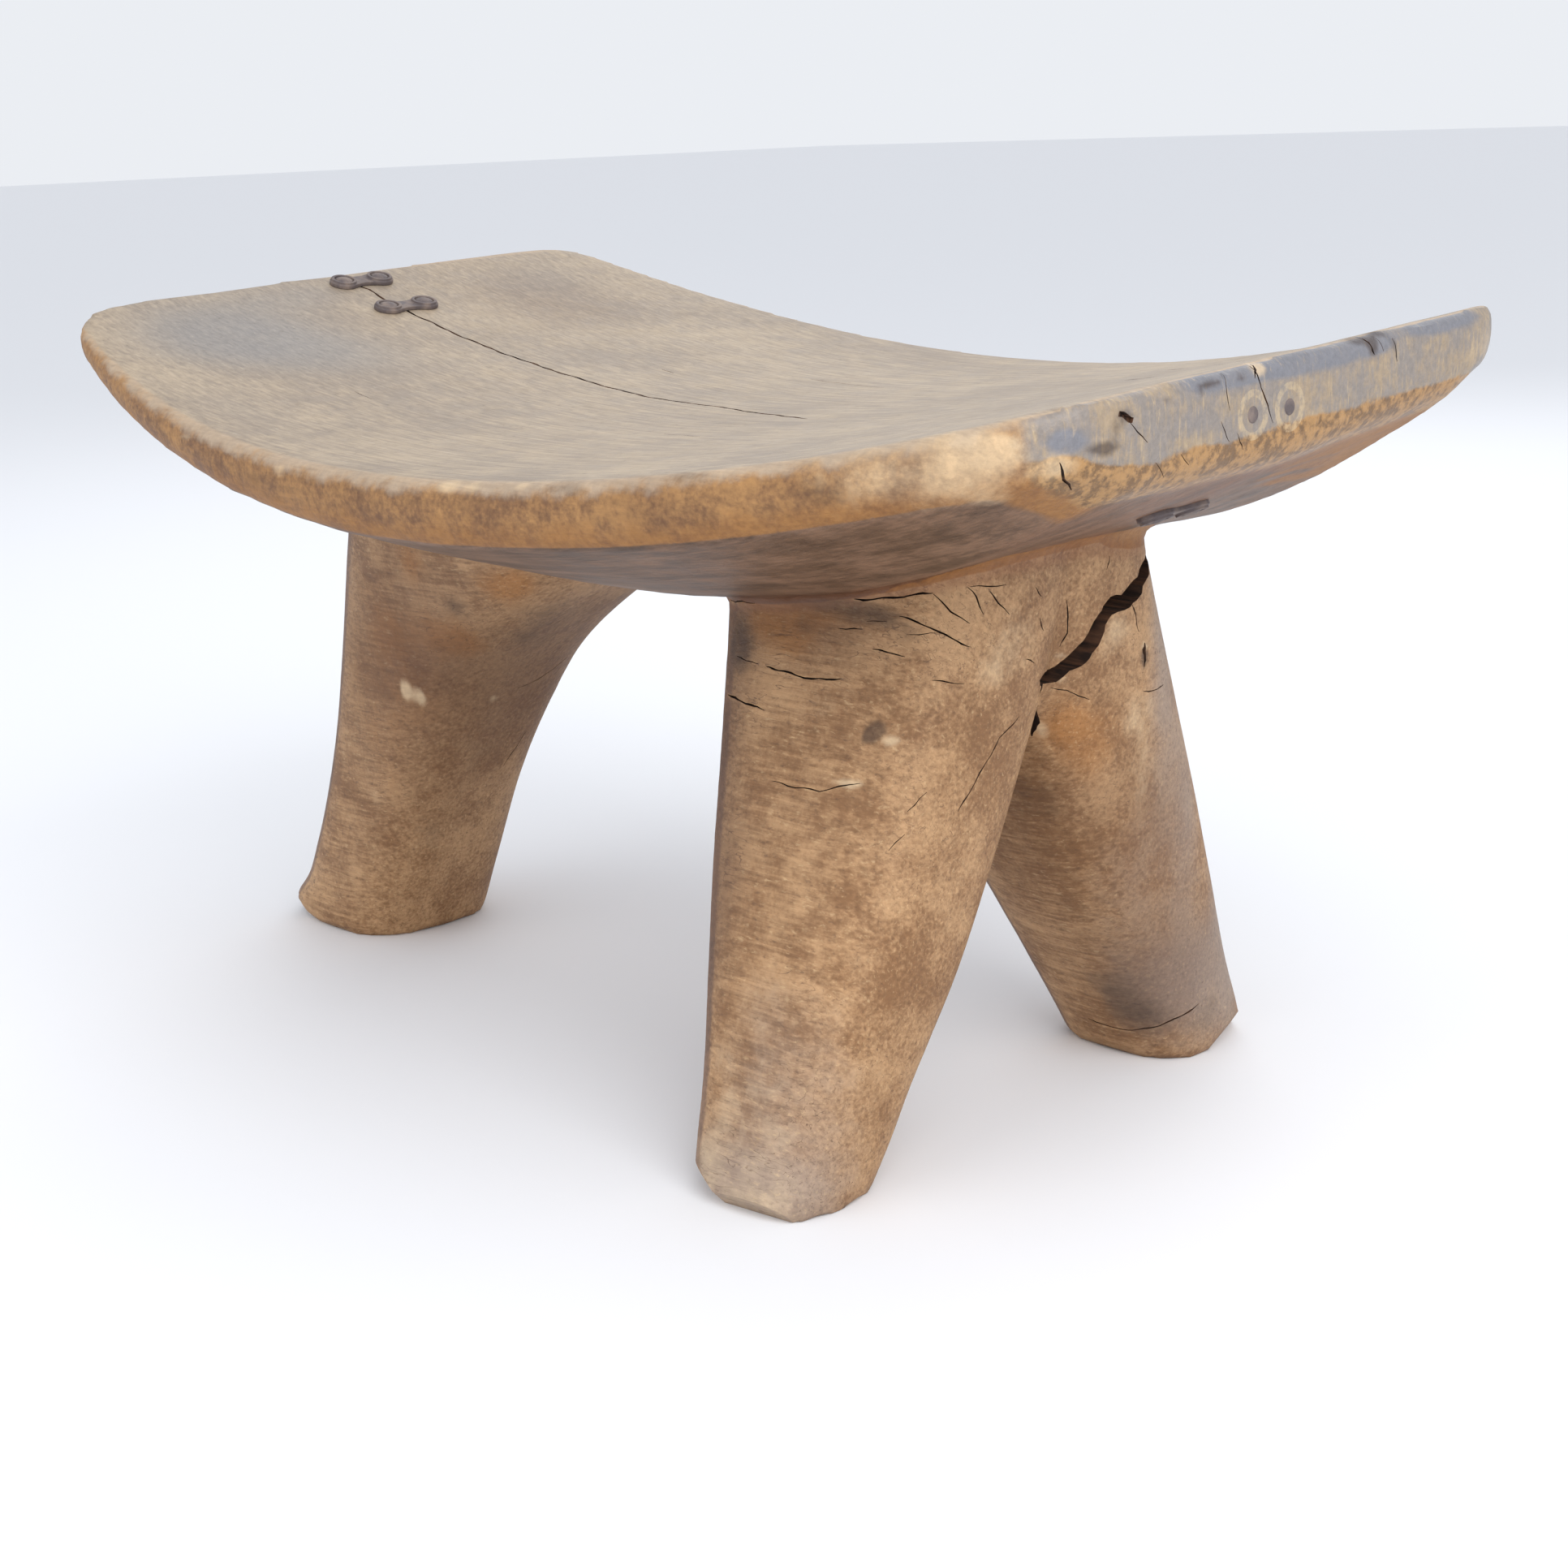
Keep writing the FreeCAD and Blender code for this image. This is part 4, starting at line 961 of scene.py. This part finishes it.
# grey places and painted sheen: the spots along the top of the end face paint the reflection of the sky in
# its polish, and those on the right side of the far leg paint a sheen; the rest are grey wood on the top and
# low on the legs
GREY_AND_SHEEN_SPOTS = (
    (-128, -62, 186, 34, 30, 20, 0.9), (-100, -38, 180, 30, 26, 16, 0.4), (-150, -20, 195, 16, 26, 10, 0.45),
    (-70, -96, 172, 40, 12, 9, 0.3), (-138, 60, 194, 26, 24, 12, 0.4), (20, -90, 165, 70, 14, 6, 0.25),
    (125, 34, 110, 10, 9, 40, 0.7), (122, 46, 72, 8, 8, 30, 0.55), (120, 70, 50, 9, 12, 50, 0.6),
    (181.6, -71, 178, 5, 6, 3, 0.85),
    (184, -32.5, 185.4, 5, 9, 2.6, 0.75), (184.3, -19.5, 186, 5, 9, 2.8, 0.85),
    (184.4, -5.6, 186, 5, 9, 2.8, 0.85),
    (184.6, 11, 187, 5, 10, 3.2, 0.95), (184.2, 27, 188, 5, 9, 2.8, 0.9), (184, 49, 190, 5, 12, 2.6, 0.9),
    (183.8, 63, 190.7, 5, 8, 2.4, 0.7), (184.8, -36, 178, 4, 16, 4, 0.45),
    (104, -78, 28, 26, 20, 34, 0.5), (96, -84, 4, 30, 18, 12, 0.6), (118, 62, 20, 18, 20, 22, 0.45),
    (113, 42, 24, 16, 20, 22, 0.5), (118, 24, 56, 14, 16, 26, 0.35),
)
OCHRE_SPOTS = (
    (-81.6, -38, 124.6, 6, 6, 7, 0.7), (-49, -33, 119, 8, 8, 7, 0.8), (-41, -32, 122, 6, 6, 5, 0.7),
    (-77, -32.6, 103.6, 12, 8, 7, 0.65), (-71, -27.4, 99, 8, 7, 5, 0.5),
    (-103, -34.5, 103, 10, 8, 10, 0.4), (-96, -32, 86, 20, 10, 24, 0.42),
    (-116, -32, 62, 10, 8, 22, 0.35), (73, -49, 129, 10, 8, 7, 0.85), (90, -49, 131, 10, 8, 4, 0.7),
    (84, -51, 124, 8, 6, 5, 0.6), (119, 4, 102, 6, 8, 8, 0.55), (122, 13, 95, 6, 8, 8, 0.4),
    (118, 0, 96, 5, 5, 6, 0.6), (119, 6, 88, 6, 8, 8, 0.4),
)
for name, table in (
    ("dark", SHADE_AND_STAIN_SPOTS), ("soot_and_shade", SOOT_AND_PAINTED_SHADE), ("pale", PALE_SPOTS), ("cool", GREY_AND_SHEEN_SPOTS), ("ochre", OCHRE_SPOTS),
):
    keep(wood, name, spots(places, table))
print("other places:", len(PALE_SPOTS) + len(GREY_AND_SHEEN_SPOTS) + len(OCHRE_SPOTS))

# %% [markdown]
# ## The finish of the wood
# Old dense hardwood, cut with an adze and never varnished. Oil from hands and smoke make its gloss: low
# on the bleached top, higher on the handled end and the underside. The grain runs along the log through seat
# and legs alike, so one set of stretched noises on Object coordinates serves the whole piece, and it stays
# in the wood from every side. Vessels of real hardwood are about 0.2 mm wide, too fine to show at this
# distance, so the strokes of the grain are drawn about 1 mm wide and 20 mm long.

# %% Colours and one helper for nodes


def linear(colour):
    """Turn an sRGB hex colour into the linear colour that a shader takes."""
    parts = [int(colour[at:at + 2], 16) / 255 for at in (1, 3, 5)]
    curved = [((part + 0.055) / 1.055) ** 2.4 for part in parts]
    return tuple(part / 12.92 if part <= 0.04045 else curve for part, curve in zip(parts, curved)) + (1,)


def per_metre(millimetres):
    """Scale of a pattern whose features are this wide."""
    return 1000 / millimetres


def add(tree, kind, inputs=(), **settings):
    """Add a node with its settings; an input takes a value, a socket, or a node for its first output."""
    made = tree.nodes.new(kind)
    for name, value in settings.items():
        setattr(made, name, value)
    for socket, value in dict(inputs).items():
        if isinstance(value, bpy.types.Node):
            value = value.outputs[0]
        if isinstance(value, bpy.types.NodeSocket):
            tree.links.new(value, made.inputs[socket])
        else:
            made.inputs[socket].default_value = value
    return made


def open_material(material):
    """Empty a material's node tree and give it a shader and an output."""
    material.use_nodes = True
    tree = material.node_tree
    tree.nodes.clear()
    shader = add(tree, "ShaderNodeBsdfPrincipled")
    add(tree, "ShaderNodeOutputMaterial", {"Surface": shader})
    return tree, shader


MATH = "ShaderNodeMath"
RANGE = "ShaderNodeMapRange"
NOISE = "ShaderNodeTexNoise"
MIX = "ShaderNodeMix"
# A Mix node keeps its sockets for every type, so those for colour are reached by position.
FACTOR = 0
COLOUR_A = 6
COLOUR_B = 7
COLOUR_OUT = 2

# %% Patterns in the wood
# The grain is 24 mm by 1.1 mm; the flecks and pores of the legs are about 3 mm by 0.8 mm.
wood_tree, wood_shader = open_material(worn_wood)
here = add(wood_tree, "ShaderNodeTexCoord").outputs["Object"]


def strokes(long, wide, tall, detail):
    """Noise in strokes: along the log, across it and up, in mm."""
    size = (per_metre(long), per_metre(wide), per_metre(tall))
    placed = add(wood_tree, "ShaderNodeMapping", {"Vector": here, "Scale": size})
    return add(wood_tree, NOISE, {
        "Vector": placed, "Scale": 1, "Detail": detail, "Roughness": 0.6, "Distortion": 0.35,
    }).outputs["Fac"]


grain = strokes(24, 1.1, 1.1, 5)
scratches = strokes(16, 0.7, 0.7, 3)
bands = strokes(150, 8, 8, 3)
flecks = strokes(2.6, 0.75, 0.9, 3)
end_fibres = strokes(2, 0.9, 6, 3)
# clouds with no direction: how wide their patches are in mm, their detail and their roughness
CLOUDS = ((38, 4, 0.55), (9, 6, 0.65), (2.1, 4, 0.65), (1, 2, 0.5))
blotches, mottling, specks, grit = (add(wood_tree, NOISE, {
    "Vector": here, "Scale": per_metre(wide), "Detail": detail, "Roughness": rough,
}).outputs["Fac"] for wide, detail, rough in CLOUDS)
uneven = add(wood_tree, MATH, {0: mottling, 1: 0.5}, operation="SUBTRACT")


print("nodes of the patterns:", len(wood_tree.nodes))

# %% Mixing patterns and colours


def mixture(*patterns):
    """Several patterns as one, each with its share."""
    total = 0.0
    for pattern, part in patterns:
        total = add(wood_tree, MATH, {0: pattern, 1: part, 2: total}, operation="MULTIPLY_ADD")
    return total


def two_tones(pattern, low, high, dark, pale, most=1):
    """One colour where a pattern is below low, another where it is above high."""
    step = add(wood_tree, RANGE, {"Value": pattern, "From Min": low, "From Max": high, "To Max": most},
               interpolation_type="SMOOTHSTEP")
    mixed = add(wood_tree, MIX, {FACTOR: step, COLOUR_A: dark, COLOUR_B: pale}, data_type="RGBA")
    return mixed.outputs[COLOUR_OUT]


def laid_over(below, finish, where, low, high, ragged, most=1):
    """A finish over what is below, where an attribute is high; the mottling breaks up its border."""
    place = add(wood_tree, "ShaderNodeAttribute", attribute_name=where).outputs["Fac"]
    border = add(wood_tree, MATH, {0: uneven, 1: ragged, 2: place}, operation="MULTIPLY_ADD")
    return two_tones(border, low, high, below, finish, most)


# %% Colours of the legs
# Handled wood: a warm tan, full of fine fibres, light flecks and dark pores, with thin drying checks.
LEG_PALE = linear("#B08A62")
LEG_DARK = linear("#7E5834")
LEG_FLECK = linear("#D2B286")
LEG_PORE = linear("#4A3020")
LEG_OCHRE = linear("#A26A2E")
LEG_GREY_AND_SHEEN = linear("#94857A")
FLANK_SHADE_DARK = linear("#5C4230")
FLANK_SHADE_PALE = linear("#80604A")
leg_mix = mixture((blotches, 0.4), (mottling, 0.3), (grain, 0.2), (grit, 0.1))
leg_colour = two_tones(leg_mix, 0.42, 0.59, LEG_DARK, LEG_PALE)
leg_colour = laid_over(leg_colour, LEG_OCHRE, "ochre", 0.1, 0.9, 0.9, 0.7)
# on the right side of the far leg this grey is a painted sheen; elsewhere it is grey wood
leg_colour = laid_over(leg_colour, LEG_GREY_AND_SHEEN, "cool", 0.2, 0.8, 0.5, 0.75)
leg_colour = two_tones(flecks, 0.56, 0.76, leg_colour, LEG_FLECK, 0.42)
leg_colour = two_tones(flecks, 0.43, 0.27, leg_colour, LEG_PORE, 0.42)
check_line = add(wood_tree, MATH, {0: strokes(22, 2.6, 2.6, 2), 1: 0.5, 2: 0.006}, operation="COMPARE")
some_checks = add(wood_tree, MATH, {0: check_line, 1: blotches}, operation="MULTIPLY")
leg_colour = two_tones(some_checks, 0.48, 0.6, leg_colour, LEG_PORE, 0.6)
# painted shade on the flanks of the legs, which face away from the light
painted_flank_shade_colour = two_tones(leg_mix, 0.4, 0.61, FLANK_SHADE_DARK, FLANK_SHADE_PALE)
leg_colour = laid_over(leg_colour, painted_flank_shade_colour, "flank_painted_shade", 0.1, 0.9, 0.4, 0.9)

# %% Colours of the band and the top
# The band is rubbed ochre over brown, more orange low down and bleached at the worn upper edge.
BAND_OCHRE = linear("#A07646")
BAND_BROWN = linear("#6A472A")
BAND_LOW = linear("#8F5C22")
BAND_WORN = linear("#B3A089")
TOP_PALE = linear("#A8967F")
TOP_DARK = linear("#8D7E6E")
TOP_SCRATCH = linear("#C4B8A4")
TOP_PORE = linear("#6B5E4E")
TOP_COOL = linear("#7E7C7C")
band_mix = mixture((blotches, 0.25), (mottling, 0.4), (specks, 0.2), (grit, 0.15))
band_colour = two_tones(band_mix, 0.4, 0.6, BAND_BROWN, BAND_OCHRE)
band_colour = laid_over(band_colour, BAND_LOW, "down", 0.5, 1, 0.8, 0.55)
band_colour = laid_over(band_colour, BAND_WORN, "down", 0.28, 0.04, 0.6, 0.75)
top_mix = mixture((blotches, 0.35), (mottling, 0.3), (grain, 0.35))
top_colour = two_tones(top_mix, 0.38, 0.63, TOP_DARK, TOP_PALE)
top_colour = laid_over(top_colour, TOP_COOL, "cool", 0.15, 0.9, 0.5, 0.7)
top_colour = two_tones(scratches, 0.6, 0.78, top_colour, TOP_SCRATCH, 0.42)
top_colour = two_tones(specks, 0.38, 0.28, top_colour, TOP_PORE, 0.35)

# %% Colours of the underside and the end face
# Smoke and hands made the underside brown; the end face is polished grey with a painted reflection of the
# sky along its top, and ochre is left at its foot.
UNDER_DARK = linear("#4A3423")
UNDER_PALE = linear("#7F6049")
END_GREY = linear("#847B74")
END_TAUPE = linear("#99866E")
END_SKY_REFLECTION_GREY = linear("#717279")
END_OCHRE = linear("#A27B4C")
END_BROWN = linear("#735534")
END_FIBRE = linear("#BFA987")
under_mix = mixture((bands, 0.4), (grain, 0.25), (mottling, 0.35))
under_colour = two_tones(under_mix, 0.36, 0.64, UNDER_DARK, UNDER_PALE)
under_colour = two_tones(scratches, 0.66, 0.8, under_colour, END_FIBRE, 0.3)
end_mix = mixture((mottling, 0.5), (specks, 0.2), (end_fibres, 0.3))
end_colour = two_tones(end_mix, 0.43, 0.6, END_GREY, END_TAUPE)
# the blue grey laid on here is a painted reflection of the sky in the polished end face
end_colour = laid_over(end_colour, END_SKY_REFLECTION_GREY, "cool", 0.25, 0.65, 0.7, 0.9)
end_colour = two_tones(end_fibres, 0.57, 0.7, end_colour, END_FIBRE, 0.3)
end_low = two_tones(mixture((specks, 0.6), (mottling, 0.4)), 0.42, 0.56, END_BROWN, END_OCHRE)
end_colour = laid_over(end_colour, end_low, "foot", 0.3, 0.7, 1.4)

# %% Lay the parts over each other
STAIN_AND_PAINTED_SHADE = linear("#352115")
BLEACHED = linear("#D2B894")
JOINT_ORANGE = linear("#7A4521")
SOOT_AND_SHADE_BROWN = linear("#4A260C")
# a finish, the attribute for its place, between which values it fades in, how ragged that is, and its most
LAYERS = (
    (top_colour, "top", 0.35, 0.65, 0.5, 1),
    (under_colour, "under", 0.3, 0.6, 0.25, 1),
    (leg_colour, "leg", 0.4, 0.6, 0.25, 1),
    (end_colour, "end", 0.35, 0.65, 0.9, 1),
    # an orange line along the joint of leg and underside
    (JOINT_ORANGE, "joint", 0.2, 0.9, 0.6, 0.42),
    # soot, with painted shade on the left of the near leg and in the fork of the pair
    (SOOT_AND_SHADE_BROWN, "soot_and_shade", 0, 1, 0.3, 0.75),
    (BLEACHED, "pale", 0.2, 0.8, 0.9, 0.65),
    # stains, with painted shade below the fork of the pair and on the left of the near leg
    (STAIN_AND_PAINTED_SHADE, "dark", 0.25, 0.8, 0.7, 0.7),
)
colour = band_colour
for layer in LAYERS:
    colour = laid_over(colour, *layer)
# the grain and the specks make all of it up to 13 % darker or lighter
shade = add(wood_tree, RANGE, {
    "Value": mixture((grain, 0.6), (specks, 0.4)), "From Min": 0.35, "From Max": 0.65,
    "To Min": 0.87, "To Max": 1.13,
})
tint = add(wood_tree, "ShaderNodeCombineColor", {0: shade, 1: shade, 2: shade})
colour = add(wood_tree, MIX, {FACTOR: 1, COLOUR_A: colour, COLOUR_B: tint}, data_type="RGBA",
             blend_type="MULTIPLY").outputs[COLOUR_OUT]
wood_tree.links.new(colour, wood_shader.inputs["Base Color"])

# %% Imprints round the two pins
# A plate was lost here. It kept the wood under its eyes from darkening, which left two pale rings.
RING_RADIUS = 4.4
RING_WIDE = 1.6
for name in PINS:
    low_corner, high_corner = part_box(name)
    middle = [(low + high) / 2 for low, high in zip(low_corner, high_corner)]
    middle[0] = high_corner[0]
    away = add(wood_tree, "ShaderNodeVectorMath", {0: here, 1: middle}, operation="DISTANCE")
    reach = away.outputs["Value"]
    ring = add(wood_tree, MATH, {0: reach, 1: RING_RADIUS * MM, 2: RING_WIDE * MM / 2}, operation="COMPARE")
    ring = add(wood_tree, MATH, {0: ring, 1: specks}, operation="MULTIPLY")
    ringed = two_tones(ring, 0.3, 0.6, wood_shader.inputs["Base Color"].links[0].from_socket, END_FIBRE, 0.5)
    wood_tree.links.new(ringed, wood_shader.inputs["Base Color"])

# %% Gloss and relief of the wood
gloss = add(wood_tree, RANGE, {"Value": mottling, "To Min": 0.48, "To Max": 0.72}).outputs["Result"]
for where, shinier in (("end", -0.16), ("under", -0.1)):
    place = add(wood_tree, "ShaderNodeAttribute", attribute_name=where).outputs["Fac"]
    gloss = add(wood_tree, MATH, {0: place, 1: shinier, 2: gloss}, operation="MULTIPLY_ADD").outputs[0]
wood_tree.links.new(gloss, wood_shader.inputs["Roughness"])
wood_shader.inputs["IOR"].default_value = 1.5
relief = mixture((grain, 0.4), (flecks, 0.35), (specks, 0.35), (grit, 0.15))
bump = add(wood_tree, "ShaderNodeBump", {"Strength": 0.5, "Distance": 0.0007, "Height": relief})
wood_tree.links.new(bump.outputs["Normal"], wood_shader.inputs["Normal"])
print("nodes of the wood:", len(wood_tree.nodes))

# %% [markdown]
# ## Raw wood in the cracks
# Where the wood split it was never touched: it shows torn fibres across the gap, in raw brown wood whose
# darkest tone is painted shade.
# The fibres are drawn 1.3 mm wide, several times too coarse, so that they show.

# %% Split heartwood, with painted shade in the cracks


def two_coloured(tree, shader, pattern, dark, pale):
    """Colour a finish by a pattern, from a dark tone to a pale one."""
    step = add(tree, RANGE, {"Value": pattern, "From Min": 0.42, "From Max": 0.66})
    mixed = add(tree, MIX, {FACTOR: step, COLOUR_A: dark, COLOUR_B: pale}, data_type="RGBA")
    tree.links.new(mixed.outputs[COLOUR_OUT], shader.inputs["Base Color"])


FIBRE_LONG = 12
FIBRE_WIDE = 1.3
raw_tree, raw_shader = open_material(raw_wood_and_crack_shade)
raw_here = add(raw_tree, "ShaderNodeTexCoord").outputs["Object"]
fibre_size = (per_metre(FIBRE_LONG), per_metre(FIBRE_WIDE), per_metre(FIBRE_LONG))
fibre_place = add(raw_tree, "ShaderNodeMapping", {"Vector": raw_here, "Scale": fibre_size})
fibres = add(raw_tree, NOISE, {"Vector": fibre_place, "Scale": 1, "Detail": 3})
# the dark tone is painted shade in the cracks, the pale one the raw brown wood
two_coloured(raw_tree, raw_shader, fibres, linear("#2C1C13"), linear("#664530"))
raw_shader.inputs["Roughness"].default_value = 0.85
raw_bump = add(raw_tree, "ShaderNodeBump", {"Strength": 0.8, "Distance": 0.0008, "Height": fibres})
raw_tree.links.new(raw_bump.outputs["Normal"], raw_shader.inputs["Normal"])

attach(wood, "root")
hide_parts("stool_body")
print("wood:", len(wood.data.vertices), "points")

# %% [markdown]
# ## The iron
# The plates look like links of a small chain, used again as staples: two eyes with a raised collar, a narrow
# waist, and a nail through each eye. Iron this old is grey-brown with a trace of rust, and dull with dust.
# The solids already have the right shape, so a copy of each gets what a punch and a hammer leave:
# rounded edges and an uneven face.

# %% Old iron
PIT = 1.1
RUST = 3.5
iron = bpy.data.materials.new("old_forged_iron")
iron_tree, iron_shader = open_material(iron)
iron_here = add(iron_tree, "ShaderNodeTexCoord").outputs["Object"]
rust = add(iron_tree, NOISE, {"Vector": iron_here, "Scale": per_metre(RUST), "Detail": 6})
two_coloured(iron_tree, iron_shader, rust, linear("#625858"), linear("#86776F"))
iron_shader.inputs["Metallic"].default_value = 0.35
rough = add(iron_tree, RANGE, {"Value": rust, "To Min": 0.5, "To Max": 0.8})
iron_tree.links.new(rough.outputs["Result"], iron_shader.inputs["Roughness"])
pits = add(iron_tree, NOISE, {"Vector": iron_here, "Scale": per_metre(PIT), "Detail": 4})
iron_bump = add(iron_tree, "ShaderNodeBump", {"Strength": 0.5, "Distance": 0.0003, "Height": pits})
iron_tree.links.new(iron_bump.outputs["Normal"], iron_shader.inputs["Normal"])
print("nodes of the iron:", len(iron_tree.nodes))

# %% Worn copies of the iron pieces
IRON_EDGE = 0.22
IRON_WAVE = 0.1
HAMMER_MARK = 2.5
IRON_SMOOTH_ANGLE = 40
BEVEL_ANGLE = 35
hammer = bpy.data.textures.new("hammer_marks", "CLOUDS")
hammer.noise_scale = HAMMER_MARK * MM
iron_nodes = [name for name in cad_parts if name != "stool_body"]
for name in iron_nodes:
    start_fresh()
    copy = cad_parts[name].copy()
    copy.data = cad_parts[name].data.copy()
    copy.name = "worn_" + name
    copy.parent = None
    bpy.context.collection.objects.link(copy)
    finish_with(copy, "WELD", merge_threshold=0.001 * MM)
    finish_with(copy, "BEVEL", width=IRON_EDGE * MM, segments=3, limit_method="ANGLE",
                angle_limit=math.radians(BEVEL_ANGLE))
    if "plate" in name and "nail" not in name:
        finish_with(copy, "DISPLACE", texture=hammer, texture_coords="LOCAL", strength=IRON_WAVE * MM,
                    mid_level=0.5)
    copy.data.materials.clear()
    copy.data.materials.append(iron)
    shade_smooth(copy, IRON_SMOOTH_ANGLE)
    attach(copy, "root")
    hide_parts(name)
print("iron pieces:", len(iron_nodes))

# %% [markdown]
# ## Floor and light
# A plain pale floor, a bright even room, and one large soft light from the camera's right, which models the
# round legs and puts a quiet shine on the end face.

# %% Floor
FLOOR_SIZE = 30
start_fresh()
bpy.ops.mesh.primitive_plane_add(size=FLOOR_SIZE)
floor = bpy.context.object
floor.name = "floor"
paint = bpy.data.materials.new("pale_matt_paint")
_, paint_shader = open_material(paint)
paint_shader.inputs["Base Color"].default_value = linear("#EDEEF1")
paint_shader.inputs["Roughness"].default_value = 0.9
floor.data.materials.append(paint)
print("floor:", FLOOR_SIZE, "m wide")

# %% Light
# name, place in metres, size in metres and power in watts
LIGHTS = (
    ("key_light", (0.95, -0.35, 0.85), 0.9, 10),
    ("fill_light", (-0.2, -1.2, 0.7), 1.1, 3.5),
    ("back_light", (-0.6, 0.9, 0.9), 1, 3.5),
)
for name, place, size, power in LIGHTS:
    lamp = bpy.data.lights.new(name, "AREA")
    lamp.size = size
    lamp.energy = power
    holder = bpy.data.objects.new(name, lamp)
    aim = Vector(place) - Vector((0, 0, 0.1))
    holder.matrix_world = Matrix.Translation(place) @ aim.to_track_quat("Z", "Y").to_matrix().to_4x4()
    bpy.context.collection.objects.link(holder)
world = bpy.data.worlds.new("bright_room")
world.use_nodes = True
sky = world.node_tree.nodes["Background"]
sky.inputs["Color"].default_value = linear("#F4F7FC")
sky.inputs["Strength"].default_value = 0.92
bpy.context.scene.world = world
bpy.context.scene.view_settings.view_transform = "Standard"
print("lights:", len(LIGHTS))
